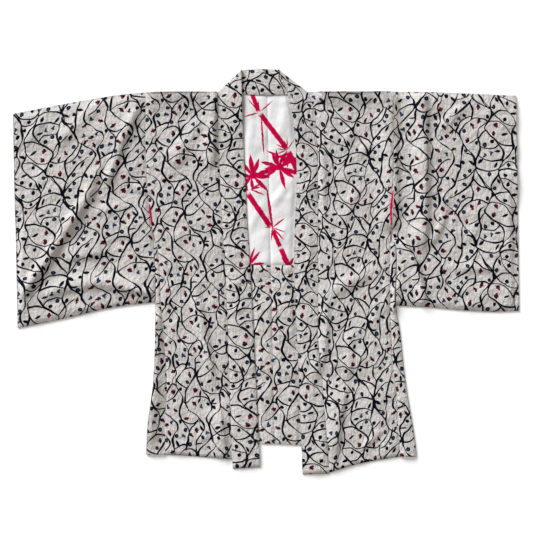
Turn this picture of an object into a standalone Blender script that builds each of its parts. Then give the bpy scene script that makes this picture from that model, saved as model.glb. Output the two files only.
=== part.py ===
"""A short kimono jacket (haori) laid flat on its back, with its fronts up.

Each cut piece is one sheet of cloth.  A grid, one column across the cloth and one row along
it, is laid out by a function that follows the seams, turns over the shoulder fold and lies
down again as the back.  Solidify then gives the cloth its wall.  The tables are in
millimetres from the middle of the laid-out jacket, y towards the collar; "left" is the side
at -X.  The mesh is in metres.
"""
import math
from collections import namedtuple

import bmesh
import bpy
import numpy as np

MM = 0.001
LEFT = -1
RIGHT = 1

# Cloth: walls, the space left at each seam, and the height of the middle of each layer.
SHELL_WALL = 1.2            # shell and its lining, pressed together
LINING_WALL = 1.0
BAND_WALL = 2.6             # the collar band is folded double over its seam
SEAM_GAP = 0.3
BACK_MID = SHELL_WALL / 2
LINING_MID = SHELL_WALL + SEAM_GAP + LINING_WALL / 2
FRONT_MID = LINING_MID + LINING_WALL / 2 + SEAM_GAP + SHELL_WALL / 2
BAND_MID = FRONT_MID - SHELL_WALL / 2 + BAND_WALL / 2
SEWN_MID = BACK_MID + SHELL_WALL + SEAM_GAP     # a front edge that is sewn to its back edge

# Lines down each side of the body.  side: sleeve seam, then the fold of the gusset; front:
# outer edge of the front panel; seam: front panel to band; free: loose edge of the band.
Station = namedtuple("Station", "y side front seam free")
BODY_LINES = {
    LEFT: (
        Station(505, -301, -301, -122, -62),
        Station(450, -301, -301, -122, -61),
        Station(300, -301, -301, -118, -56),
        Station(190, -295, -295, -113, -51),
        Station(120, -287, -287, -109, -48),
        Station(50, -280, -270, -105, -43),
        Station(-75, -277, -263, -98, -36),
        Station(-175, -278, -255, -95, -31),
        Station(-280, -283, -248, -91, -26),
        Station(-380, -296, -253, -88, -21),
        Station(-455, -300, -252, -85, -17),
        Station(-510, -300, -252, -83, -15),
    ),
    RIGHT: (
        Station(505, 317, 317, 104, 31),
        Station(450, 317, 317, 104, 51),
        Station(412, 317, 317, 117, 61),
        Station(335, 317, 317, 125, 72),
        Station(225, 316, 316, 129, 76),
        Station(120, 311, 311, 129, 72),
        Station(60, 324, 310, 129, 70),
        Station(-84, 324, 309, 129, 73),
        Station(-148, 334, 312, 129, 76),
        Station(-235, 343, 317, 136, 80),
        Station(-303, 352, 325, 142, 83),
        Station(-384, 366, 329, 149, 86),
        Station(-455, 375, 334, 155, 89),
        Station(-510, 375, 334, 158, 91),
    ),
}

GARMENT_TOP = 450
GARMENT_HEM = -455

# Lines across the garment.
Edge = namedtuple("Edge", "x y")
SHOULDER = (
    Edge(-632, 395), Edge(-484, 423), Edge(-331, 446), Edge(-301, 448), Edge(-122, 450),
    Edge(104, 450), Edge(317, 450), Edge(405, 449), Edge(624, 440),
)
FRONT_HEM = {
    LEFT: (Edge(-300, -455), Edge(-252, -456), Edge(-194, -459), Edge(-85, -468)),
    RIGHT: (Edge(155, -502), Edge(224, -481), Edge(283, -469), Edge(334, -461), Edge(375, -460)),
}
BACK_HEM = (
    Edge(-271, -456), Edge(-150, -436), Edge(-19, -429), Edge(90, -433), Edge(220, -444),
    Edge(350, -460),
)
SLEEVE_HEM = {
    LEFT: (Edge(-621, -140), Edge(-507, -117), Edge(-391, -90), Edge(-277, -75)),
    RIGHT: (Edge(324, -84), Edge(405, -86), Edge(632, -97)),
}
SLEEVE_MOUTH = {LEFT: (-621, -632), RIGHT: (632, 624)}      # x at its bottom and its top
ARMPIT = -80
WRIST_OPENING = 235         # the sleeve's outer edge is sewn up below this length

# Centre-back seam, the lining's lower edge, and how far it and the facing run under the bands.
CENTRE_TOP = Edge(2, 440)
CENTRE_HEM = Edge(21, -430)
LINING_EDGE = 17
TUCK = 25

GUSSET_TOP = 75
GUSSET_WRAP = 0.6           # share of its showing width that lies again under the back

# Collar band: its ends, the slanting turn-overs on the shoulders and its stretch at the neck.
BAND_END = {LEFT: (-491, -487), RIGHT: (-503, -505)}        # y of its seam and loose corners
BAND_TURN = {LEFT: (Edge(-118, 450), Edge(-62, 505)), RIGHT: (Edge(103, 450), Edge(31, 505))}
BAND_SLANT_START = 300      # above this the rows of the band slant towards the turn-over
BAND_TURN_MID = BAND_MID + 0.3      # the front strips ride a little higher over the neck stretch
NECK_TOP = 447.5            # y of the back neck's ends, and how far its middle dips
NECK_DIP = 5

# The largest folds in the upper layer: soft ridges through three points.  left and right are
# how far each flank runs out, seen from start to end; fade is the share of each tip that dies.
Fold = namedtuple("Fold", "start middle end height left right fade")
FOLDS = (
    Fold((-618, -20), (-440, 205), (-333, 452), 9.0, 60, 24, 0.15),
    Fold((-416, 190), (-392, 240), (-372, 330), 3.5, 22, 22, 0.50),
    Fold((-545, -52), (-395, 0), (-290, -48), 6.0, 26, 22, 0.40),
    Fold((376, 452), (377, 250), (392, 60), 8.0, 20, 38, 0.12),
    Fold((318, 105), (366, 40), (390, -88), 5.0, 24, 24, 0.30),
    Fold((-133, 452), (-131, 370), (-128, 255), 3.5, 10, 26, 0.30),
    Fold((165, -90), (215, 0), (300, 45), 4.0, 26, 22, 0.45),
    Fold((200, -280), (165, -370), (172, -495), 4.0, 26, 20, 0.30),
    Fold((-160, -330), (-112, -400), (-100, -470), 4.0, 20, 30, 0.35),
)
FOLD_STEPS = 12             # straight stretches that stand for one fold's curve

# Rows and columns of the grids.
ROWS_PER_STATION = 3
SLEEVE_ROWS_PER_STATION = 6
SLEEVE_BACK_ROWS = 1
TURN_STEPS = (0.25, 0.5, 0.75)
FRONT_COLUMNS = 10
NECK_COLUMNS = 4
SLEEVE_COLUMNS = 22
LINING_COLUMNS = 5
LINING_ROWS = 8
BAND_COLUMNS = 2
NECK_ROWS = 8
SEWN_BAND = 16              # width over which a sewn edge comes down to the layer below

CLOTH_COLOUR = (0.42, 0.40, 0.39)
LINING_COLOUR = (0.79, 0.78, 0.78)


def read_line(edges, x):
    """Height y of a line across the garment at x."""
    ordered = sorted(edges)
    return np.interp(x, [edge.x for edge in ordered], [edge.y for edge in ordered])


def read_side(side, name, y):
    """Place x, at the height y, of one of the named lines down the body."""
    ordered = sorted(BODY_LINES[side])
    return np.interp(y, [row.y for row in ordered], [getattr(row, name) for row in ordered])


def centre_x(y):
    """Centre-back seam, which leans a little."""
    return np.interp(y, [CENTRE_HEM.y, CENTRE_TOP.y], [CENTRE_HEM.x, CENTRE_TOP.x])


def back_edge_x(side, y):
    """Edge of the back panel, where the gusset comes round to it from the fold."""
    fold = read_side(side, "side", y)
    return fold - GUSSET_WRAP * (fold - read_side(side, "front", y))


def smooth(value):
    """Soft step from 0 to 1."""
    held = np.clip(value, 0.0, 1.0)
    return held * held * (3.0 - 2.0 * held)


def mix(low, high, share):
    return low + (high - low) * share


def fold_points(fold):
    """Points along a fold's curve, which passes through its middle point."""
    share = np.linspace(0.0, 1.0, FOLD_STEPS + 1)[:, None]
    start, middle, end = (np.array(point, float) for point in (fold.start, fold.middle, fold.end))
    bend = 2.0 * middle - 0.5 * (start + end)
    return (1 - share) ** 2 * start + 2 * share * (1 - share) * bend + share ** 2 * end


def fold_lift(x, y):
    """How far the folds raise the upper layer at each place."""
    lift = np.zeros_like(x)
    for fold in FOLDS:
        points = fold_points(fold)
        nearest = np.full_like(x, 1e9)
        offset = np.zeros_like(x)
        along = np.zeros_like(x)
        for step, (start, end) in enumerate(zip(points[:-1], points[1:])):
            run = end - start
            length = math.hypot(*run)
            share = np.clip(((x - start[0]) * run[0] + (y - start[1]) * run[1]) / length ** 2, 0, 1)
            gap_x = x - start[0] - share * run[0]
            gap_y = y - start[1] - share * run[1]
            distance = np.hypot(gap_x, gap_y)
            closer = distance < nearest
            side = np.sign(run[0] * gap_y - run[1] * gap_x)
            nearest = np.where(closer, distance, nearest)
            offset = np.where(closer, distance * side, offset)
            along = np.where(closer, (step + share) / FOLD_STEPS, along)
        reach = np.where(offset > 0, fold.left, fold.right)
        flank = np.cos(np.clip(nearest / reach, 0, 1) * math.pi / 2) ** 2
        tips = smooth(along / fold.fade) * smooth((1 - along) / fold.fade)
        lift = np.maximum(lift, fold.height * flank * tips)
    return lift


def front_mid(x, y):
    return FRONT_MID + fold_lift(x, y)


def turn_radius(x):
    """Radius of the shoulder fold at x, from the back layer to the upper one."""
    return (front_mid(x, read_line(SHOULDER, x)) - BACK_MID) / 2


def top_y(x):
    """Where the flat of each layer ends and the shoulder fold starts."""
    return read_line(SHOULDER, x) - SHELL_WALL / 2 - turn_radius(x)


def neck_y(x):
    """Neck edge of the back, along the band's seam."""
    left, right = BAND_TURN[LEFT][0].x, BAND_TURN[RIGHT][0].x
    share = np.clip((x - left) / (right - left), 0, 1)
    return NECK_TOP - NECK_DIP * np.sin(math.pi * share)


def side_ends(side):
    """y of the front panel's outer edge at its hem and at its top, where side seams are set out."""
    hem = float(read_line(FRONT_HEM[side], read_side(side, "front", GARMENT_HEM)))
    top = float(top_y(np.array([float(read_side(side, "side", GARMENT_TOP))]))[0])
    return hem, top


def seam_ends(side):
    """y of the front panel's band seam at its hem and at its top."""
    hem = float(read_line(FRONT_HEM[side], read_side(side, "seam", GARMENT_HEM)))
    return hem, GARMENT_TOP - SHELL_WALL / 2 - (FRONT_MID - BACK_MID) / 2


def sheet_object(name, columns, rows, place, material, wall, cut=None):
    """A sheet of cloth: place(i, j) gives x, y and z of each crossing of the grid in mm."""
    mesh_maker = bmesh.new()
    bmesh.ops.create_grid(mesh_maker, x_segments=columns, y_segments=rows, size=0.5)
    crossings = [(round((v.co.x + 0.5) * columns), round((v.co.y + 0.5) * rows)) for v in mesh_maker.verts]
    across, along = (np.array(numbers) for numbers in zip(*crossings))
    if cut:
        gone = []
        for face in mesh_maker.faces:
            middle = face.calc_center_median()
            if cut((middle.x + 0.5) * columns, (middle.y + 0.5) * rows):
                gone.append(face)
    places = np.stack(np.broadcast_arrays(*place(across, along)), axis=1) * MM
    for vert, spot in zip(mesh_maker.verts, places):
        vert.co = spot
    if cut:
        bmesh.ops.delete(mesh_maker, geom=gone, context="FACES")
    mesh = bpy.data.meshes.new(name)
    mesh_maker.to_mesh(mesh)
    mesh_maker.free()
    mesh.materials.append(material)
    cloth = bpy.data.objects.new(name, mesh)
    jacket.objects.link(cloth)
    solidify = cloth.modifiers.new("Wall", "SOLIDIFY")
    solidify.thickness = wall * MM
    solidify.offset = 0.0
    return cloth


def shares_between(levels, steps):
    """Rising shares from 0 to 1 that hit every level, with steps in each stretch."""
    shares = [0.0]
    for low, high in zip(levels[:-1], levels[1:]):
        shares += [mix(low, high, (step + 1) / steps) for step in range(steps)]
    return np.array(shares)


def station_shares(side, bottom, top):
    """Shares of the way from bottom to top at which the lines down the body bend."""
    bends = sorted(row.y for row in BODY_LINES[side] if bottom + 1 < row.y < top - 1)
    return [0.0] + [(y - bottom) / (top - bottom) for y in bends] + [1.0]


def wrap_rows(front_shares, back_shares):
    """Rows of a piece that runs up the front, over the fold and down the back."""
    shares = np.concatenate([front_shares, np.ones(len(TURN_STEPS)), back_shares[::-1]])
    turns = np.concatenate([np.zeros(len(front_shares)), TURN_STEPS, np.ones(len(back_shares))])
    return shares, turns


def lay_over_fold(x, low_y, share, turn, level):
    """y and z on a piece that turns over the shoulder: level is the upper layer's height."""
    radius = turn_radius(x)
    y = mix(low_y, top_y(x), share) + radius * np.sin(math.pi * turn)
    upper = level(x, y)
    folded = BACK_MID + radius * (1 + np.cos(math.pi * turn))
    z = np.where(turn == 0, upper, np.where(turn == 1, BACK_MID, folded))
    return y, z


def make_body(side, name, material):
    """Front and back in one length over the shoulder, with the front cut away at the neck."""
    outer_hem, outer_top = side_ends(side)
    seam_hem, seam_top = seam_ends(side)
    bends = station_shares(side, outer_hem, outer_top)
    shares, turns = wrap_rows(shares_between(bends, ROWS_PER_STATION), shares_between(bends, 1))
    neck_start = ROWS_PER_STATION * (len(bends) - 1) + len(TURN_STEPS) + 1
    back_hem = read_line(BACK_HEM, read_side(side, "front", GARMENT_HEM))
    neck_x = BAND_TURN[side][0].x + side * SEAM_GAP * 4

    def place(column, row):
        share, turn = shares[row], turns[row]
        on_back = turn == 1
        outer_y = mix(np.where(on_back, back_hem, outer_hem), outer_top, share)
        seam_y = mix(seam_hem, seam_top, share)
        outer = np.where(on_back, back_edge_x(side, outer_y), read_side(side, "front", outer_y))
        outer = outer - side * SEAM_GAP / 2
        front_inner = read_side(side, "seam", seam_y) + side * SEAM_GAP / 2
        inner = np.where(on_back, neck_x, front_inner)
        inner = np.where(on_back & (share == 1), front_inner, inner)
        middle = centre_x(mix(CENTRE_HEM.y, CENTRE_TOP.y, share)) + side * SEAM_GAP / 2
        x = mix(outer, inner, np.minimum(column / FRONT_COLUMNS, 1.0))
        x = mix(x, middle, np.maximum(column - FRONT_COLUMNS, 0) / NECK_COLUMNS)
        hem = np.where(on_back, read_line(BACK_HEM, x), read_line(FRONT_HEM[side], x))
        y, z = lay_over_fold(x, hem, share, turn, front_mid)
        neck = on_back & (column > FRONT_COLUMNS)
        y = np.where(neck, mix(hem, neck_y(x) - 2 * SEAM_GAP, share), y)
        return x, y, z

    def cut_neck(column, row):
        return column > FRONT_COLUMNS and row < neck_start

    return sheet_object(name, FRONT_COLUMNS + NECK_COLUMNS, len(shares) - 1, place, material,
                        SHELL_WALL, cut_neck)


def make_gusset(side, name, material):
    """Narrow wedge at the side, folded along its length at the jacket's edge."""
    steps = (0.0, 0.5, 1.0, 1.0, 1.0, 1.0, 1.0, 0.0)
    turns = (0.0, 0.0, 0.0, *TURN_STEPS, 1.0, 1.0)
    hem = side_ends(side)[0]
    back_hem = read_line(BACK_HEM, back_edge_x(side, GARMENT_HEM))
    bends = station_shares(side, hem, GUSSET_TOP)
    shares = shares_between(bends, ROWS_PER_STATION)

    def place(column, row):
        step, turn, share = np.array(steps)[column], np.array(turns)[column], shares[row]
        at_back_seam = (turn == 1) & (step == 0)
        y = mix(np.where(at_back_seam, back_hem, hem), GUSSET_TOP, share)
        seam = np.where(turn == 1, back_edge_x(side, y), read_side(side, "front", y))
        seam = seam + side * SEAM_GAP / 2
        radius = (FRONT_MID - BACK_MID) / 2
        fold = read_side(side, "side", y) - side * (SEAM_GAP / 2 + SHELL_WALL / 2 + radius)
        x = mix(seam, fold, step) + side * radius * np.sin(math.pi * turn)
        z = BACK_MID + radius * (1 + np.cos(math.pi * turn))
        return x, y, z

    return sheet_object(name, len(steps) - 1, len(shares) - 1, place, material, SHELL_WALL)


def make_sleeve(side, name, material):
    """One length of cloth folded at the shoulder, sewn along its bottom and its lower mouth."""
    inner_top = side_ends(side)[1]
    inner_hem = read_line(SLEEVE_HEM[side], read_side(side, "side", ARMPIT))
    bends = station_shares(side, inner_hem, inner_top)
    shares, turns = wrap_rows(shares_between(bends, SLEEVE_ROWS_PER_STATION),
                              shares_between(bends, SLEEVE_BACK_ROWS))
    mouth_low, mouth_high = SLEEVE_MOUTH[side]

    def sleeve_level(x, y):
        above_hem = y - read_line(SLEEVE_HEM[side], x)
        from_top = read_line(SHOULDER, x) - y
        from_mouth = np.abs(mix(mouth_low, mouth_high, 0.5) - x)
        sewn = 1 - smooth(above_hem / SEWN_BAND)
        closed = (1 - smooth((from_mouth - 6) / SEWN_BAND)) * smooth((from_top - WRIST_OPENING) / 60)
        return mix(front_mid(x, y), SEWN_MID, np.maximum(sewn, closed))

    def place(column, row):
        share, turn = shares[row], turns[row]
        inner_y = mix(inner_hem, inner_top, share)
        inner = read_side(side, "side", inner_y) + side * SEAM_GAP / 2
        x = mix(inner, mix(mouth_low, mouth_high, share), column / SLEEVE_COLUMNS)
        y, z = lay_over_fold(x, read_line(SLEEVE_HEM[side], x), share, turn, sleeve_level)
        return x, y, z

    return sheet_object(name, SLEEVE_COLUMNS, len(shares) - 1, place, material, SHELL_WALL)


def make_inside(side, name, low_y, high_y, material):
    """Half of the lining or of the facing, flat on the back and tucked under the band."""
    def place(column, row):
        share = row / LINING_ROWS
        line_y = mix(low_y, high_y, share)
        outer = read_side(side, "free", line_y) + side * TUCK
        x = mix(outer, centre_x(line_y) + side * SEAM_GAP / 2, column / LINING_COLUMNS)
        low = np.where(low_y < CENTRE_HEM.y, read_line(BACK_HEM, x) + SEAM_GAP, low_y)
        high = np.where(high_y > LINING_EDGE, neck_y(x) - 2 * SEAM_GAP, high_y)
        return x, mix(low, high, share), np.full_like(x, LINING_MID)

    return sheet_object(name, LINING_COLUMNS, LINING_ROWS, place, material, LINING_WALL)


def band_strip(side):
    """Rows of the band up one front: seam x, seam y, loose x, loose y, height."""
    shares = shares_between(station_shares(side, *side_ends(side)), ROWS_PER_STATION)
    seam_hem, seam_top = seam_ends(side)
    turn_seam, turn_free = BAND_TURN[side]
    end_seam, end_free = BAND_END[side]
    rows = [(read_side(side, "seam", end_seam), end_seam, read_side(side, "free", end_free), end_free,
             BAND_MID)]
    for share in shares:
        seam_y = mix(seam_hem, seam_top, share)
        if seam_y < end_seam + 10 or seam_y > turn_seam.y - 10:
            continue
        slant = smooth((seam_y - BAND_SLANT_START) / (turn_seam.y - BAND_SLANT_START))
        free_y = seam_y + (turn_free.y - turn_seam.y) * slant
        height = mix(BAND_MID, BAND_TURN_MID, slant)
        rows.append((read_side(side, "seam", seam_y), seam_y, read_side(side, "free", free_y), free_y,
                     height))
    return [(seam_x - side * SEAM_GAP / 2, seam_y, free_x, free_y, z)
            for seam_x, seam_y, free_x, free_y, z in rows]


def band_turn(side):
    """Rows round the slanting turn-over on one shoulder, from the upper layer down."""
    seam, free = BAND_TURN[side]
    radius = (BAND_TURN_MID - BAND_WALL / 2) / 2
    length = math.hypot(free.x - seam.x, free.y - seam.y)
    out_x = side * (free.y - seam.y) / length
    out_y = side * (seam.x - free.x) / length
    inset = radius + BAND_WALL / 2
    rows = []
    for turn in (0.0, *TURN_STEPS, 1.0):
        shift = radius * math.sin(math.pi * turn) - inset
        height = BAND_WALL / 2 + radius * (1 + math.cos(math.pi * turn))
        rows.append((seam.x + out_x * shift, seam.y + out_y * shift,
                     free.x + out_x * shift, free.y + out_y * shift, height))
    return rows


def make_band(name, material):
    """Collar band: up one front, turned over on each shoulder, and down the other front."""
    left_turn, right_turn = band_turn(LEFT), band_turn(RIGHT)
    low_left, low_right = left_turn[-1], right_turn[-1]
    neck = []
    for step in range(1, NECK_ROWS):
        share = step / NECK_ROWS
        seam_x = mix(low_left[0], low_right[0], share)
        free_x = mix(low_left[2], low_right[2], share)
        neck.append((seam_x, float(neck_y(seam_x)), free_x, BAND_TURN[LEFT][1].y, BAND_WALL / 2))
    rows = band_strip(LEFT) + left_turn + neck + right_turn[::-1] + band_strip(RIGHT)[::-1]
    table = np.array(rows)

    def place(column, row):
        seam_x, seam_y, free_x, free_y, height = table[row].T
        share = column / BAND_COLUMNS
        return mix(seam_x, free_x, share), mix(seam_y, free_y, share), height

    return sheet_object(name, BAND_COLUMNS, len(rows) - 1, place, material, BAND_WALL)


def make_material(name, colour, roughness):
    material = bpy.data.materials.new(name)
    material.use_nodes = True
    shader = material.node_tree.nodes["Principled BSDF"]
    shader.inputs["Base Color"].default_value = (*colour, 1.0)
    shader.inputs["Roughness"].default_value = roughness
    shader.inputs["Metallic"].default_value = 0.0
    return material


for leftover in list(bpy.data.objects):
    bpy.data.objects.remove(leftover)
jacket = bpy.data.collections.new("haori_jacket")
bpy.context.scene.collection.children.link(jacket)

for side, word in ((LEFT, "left"), (RIGHT, "right")):
    make_body(side, f"body_{word}", make_material(f"printed_silk_body_{word}", CLOTH_COLOUR, 0.7))
    make_sleeve(side, f"sleeve_{word}", make_material(f"printed_silk_sleeve_{word}", CLOTH_COLOUR, 0.7))
    make_gusset(side, f"gusset_{word}", make_material(f"printed_silk_gusset_{word}", CLOTH_COLOUR, 0.7))
    make_inside(side, f"back_lining_{word}", LINING_EDGE + SEAM_GAP / 2, CENTRE_TOP.y,
                make_material(f"lining_silk_{word}", LINING_COLOUR, 0.6))
    make_inside(side, f"hem_facing_{word}", CENTRE_HEM.y - 1, LINING_EDGE - SEAM_GAP / 2,
                make_material(f"printed_silk_facing_{word}", CLOTH_COLOUR, 0.7))
make_band("collar_band", make_material("printed_silk_band", CLOTH_COLOUR, 0.7))
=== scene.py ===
"""A lined silk haori, laid flat on its back with its fronts up.

The cut pieces are sheets of cloth.  Each starts as a flat grid in the cut's own measures, and a
function lays it out along the seams, over the shoulder fold and down the back.  The tables are
in millimetres from the middle of the laid-out jacket, y towards the collar; "left" is the side
at -X.  The meshes are in metres.
"""
import math
import random
from collections import namedtuple

import bmesh
import bpy
import numpy as np
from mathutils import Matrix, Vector, noise


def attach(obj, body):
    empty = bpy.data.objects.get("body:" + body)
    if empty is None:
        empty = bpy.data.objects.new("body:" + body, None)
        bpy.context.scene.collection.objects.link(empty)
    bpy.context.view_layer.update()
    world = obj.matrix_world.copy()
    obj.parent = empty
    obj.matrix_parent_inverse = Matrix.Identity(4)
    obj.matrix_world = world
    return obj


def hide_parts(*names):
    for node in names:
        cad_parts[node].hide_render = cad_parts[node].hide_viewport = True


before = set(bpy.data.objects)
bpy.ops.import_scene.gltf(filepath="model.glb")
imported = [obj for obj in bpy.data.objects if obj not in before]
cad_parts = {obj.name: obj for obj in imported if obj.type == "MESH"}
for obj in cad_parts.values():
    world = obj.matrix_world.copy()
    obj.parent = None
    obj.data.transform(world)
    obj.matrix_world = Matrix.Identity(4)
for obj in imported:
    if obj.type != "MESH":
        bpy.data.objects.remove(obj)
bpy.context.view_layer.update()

MM = 0.001
LEFT = -1
RIGHT = 1

# ---------------------------------------------------------------- the garment's own measures

SHELL_WALL = 1.2            # shell and its lining, pressed together
LINING_WALL = 1.0
BAND_WALL = 2.6             # the collar band is folded double over its seam
SEAM_GAP = 0.3
BACK_MID = SHELL_WALL / 2
LINING_MID = SHELL_WALL + SEAM_GAP + LINING_WALL / 2
FRONT_MID = LINING_MID + LINING_WALL / 2 + SEAM_GAP + SHELL_WALL / 2
BAND_MID = FRONT_MID - SHELL_WALL / 2 + BAND_WALL / 2
SEWN_MID = BACK_MID + SHELL_WALL + SEAM_GAP

# Lines down each side of the body.  side: sleeve seam, then the fold of the gusset; front:
# outer edge of the front panel; seam: front panel to band; free: loose edge of the band.
Station = namedtuple("Station", "y side front seam free")
BODY_LINES = {
    LEFT: (
        Station(505, -301, -301, -122, -62),
        Station(450, -301, -301, -122, -61),
        Station(300, -301, -301, -118, -56),
        Station(190, -295, -295, -113, -51),
        Station(120, -287, -287, -109, -48),
        Station(50, -280, -270, -105, -43),
        Station(-75, -277, -263, -98, -36),
        Station(-175, -278, -255, -95, -31),
        Station(-280, -283, -248, -91, -26),
        Station(-380, -296, -253, -88, -21),
        Station(-455, -300, -252, -85, -17),
        Station(-510, -300, -252, -83, -15),
    ),
    RIGHT: (
        Station(505, 317, 317, 104, 31),
        Station(450, 317, 317, 104, 51),
        Station(412, 317, 317, 117, 61),
        Station(335, 317, 317, 125, 72),
        Station(225, 316, 316, 129, 76),
        Station(120, 311, 311, 129, 72),
        Station(60, 324, 310, 129, 70),
        Station(-84, 324, 309, 129, 73),
        Station(-148, 334, 312, 129, 76),
        Station(-235, 343, 317, 136, 80),
        Station(-303, 352, 325, 142, 83),
        Station(-384, 366, 329, 149, 86),
        Station(-455, 375, 334, 155, 89),
        Station(-510, 375, 334, 158, 91),
    ),
}
GARMENT_TOP = 450
GARMENT_HEM = -455
ARMPIT = -80

# Lines across the garment, through points.
Point = namedtuple("Point", "x y")
SHOULDER = (
    Point(-632, 395), Point(-484, 423), Point(-331, 446), Point(-301, 448), Point(-122, 450),
    Point(104, 450), Point(317, 450), Point(405, 449), Point(624, 440),
)
FRONT_HEM = {
    LEFT: (Point(-300, -455), Point(-252, -456), Point(-194, -459), Point(-85, -468)),
    RIGHT: (Point(155, -502), Point(224, -481), Point(283, -469), Point(334, -461),
            Point(375, -460)),
}
BACK_HEM = (
    Point(-271, -456), Point(-150, -436), Point(-19, -429), Point(90, -433), Point(220, -444),
    Point(350, -460),
)
SLEEVE_HEM = {
    LEFT: (Point(-621, -140), Point(-507, -117), Point(-391, -90), Point(-277, -75)),
    RIGHT: (Point(324, -84), Point(405, -88), Point(500, -96), Point(580, -99), Point(632, -97)),
}
SLEEVE_MOUTH = {LEFT: (-621, -632), RIGHT: (632, 624)}      # x at its bottom and its top
SLEEVE_MID = 200            # a sleeve's width is taken at this y
WRIST_OPENING = 235
WRIST_RUN = 60              # the mouth opens over this much of its edge
MOUTH_SEAM = 6              # where it is sewn, the sleeve is flat this far in
MOUTH_ROLL = 12             # and rises over this much more
SLEEVE_ROLL = 12            # the sleeve's bottom rolls down to its seam over this much

CENTRE_TOP = Point(2, 440)
CENTRE_HEM = Point(21, -430)
# Where each piece was cut on the printed cloth.
BODY_START = Point(0, 0)
SLEEVE_START = Point(140, 65)
GUSSET_START = Point(80, 120)
BAND_START = Point(200, 30)

LINING_EDGE = 17
LINING_LINES = 9            # lines across at which the lining's width is taken
LINING_CALM = 14            # the lining is flat under the band, and rises over this much beside it
TUCK = 25
GUSSET_TOP = 75
GUSSET_WRAP = 0.6
GUSSET_COLUMNS = 10
NECK_CLEAR = 4 * SEAM_GAP   # from the body's neck edge to the band's seam

BAND_END = {LEFT: (-491, -487), RIGHT: (-503, -505)}
BAND_TURN = {LEFT: (Point(-118, 450), Point(-62, 505)), RIGHT: (Point(103, 450), Point(31, 505))}
BAND_WIDTH = 64.0
BAND_COLUMNS = 16
BAND_SLANT_START = 300
BAND_END_RUN = 60           # the band's lower end slants over this much
BAND_TURN_MID = BAND_MID + SEAM_GAP
BAND_TURN_ROWS = 12
BAND_END_MID = BAND_WALL / 2 + 0.1      # just clear of the floor
TURN_DEPTH = 0.3            # how deep a turned fold is, as a share of half a circle
TURN_RUN = 16               # and how much cloth it takes
HEM_ROLL = 6.0              # the hem rolls down to the floor over this much of the cloth
WING_RISE = 12.0            # the band's loose edge stands up this far beside the neck
TURN_RISE = 8.0             # and this far where it turns over
WING_SHARE = 0.6            # past this share of the slant the one gives way to the other
NECK_ROWS = 44
NECK_RAMP = 14              # the loose edge reaches its line in the first of so many parts
NECK_SHARES = (0.0, 0.2, 0.62, 0.8, 1.0)    # across the neck, how far the band's seam and its
NECK_SEAM_RISE = (0.0, 1.5, 4.5, 2.5, 0.0)  # loose edge stand up
NECK_FREE_RISE = (0.0, 1.5, 7.0, 2.5, 0.0)
NECK_TOP = 447.5
NECK_DIP = 5

# A sliver of lining rolls out at each open slit beside a sleeve: where it runs, its width at its
# middle and how far out from the seam it lies.
Slit = namedtuple("Slit", "low high wide out")
SLITS = {LEFT: Slit(114, 170, 4.2, -1.0), RIGHT: Slit(116, 204, 7.5, 1.2)}
SLIT_WALL = 0.5
SLIT_RIM = 0.15
SLIT_RISE = 1.1             # how far its middle stands up, over its edges
SLIT_EDGE = 0.6
SLIT_CLEAR = 1.3            # and they over the shell
SLIT_CURL = 0.15            # how much further than half a turn each of its sides curls in
SLIT_TIP = 0.12             # its width at its ends, as a share of its middle's,
SLIT_TAPER = 0.6            # and power that keeps it wide almost up to them
SLIT_CUT = 10.0             # with its turnings it is cut at least this wide
SLIT_COLUMNS = 8
SLIT_ROW = 3.0
CULM_START = 6              # where along the culm it is cut, and how far to the side the right
CULM_SHIFT = 2.8            # one is
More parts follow.
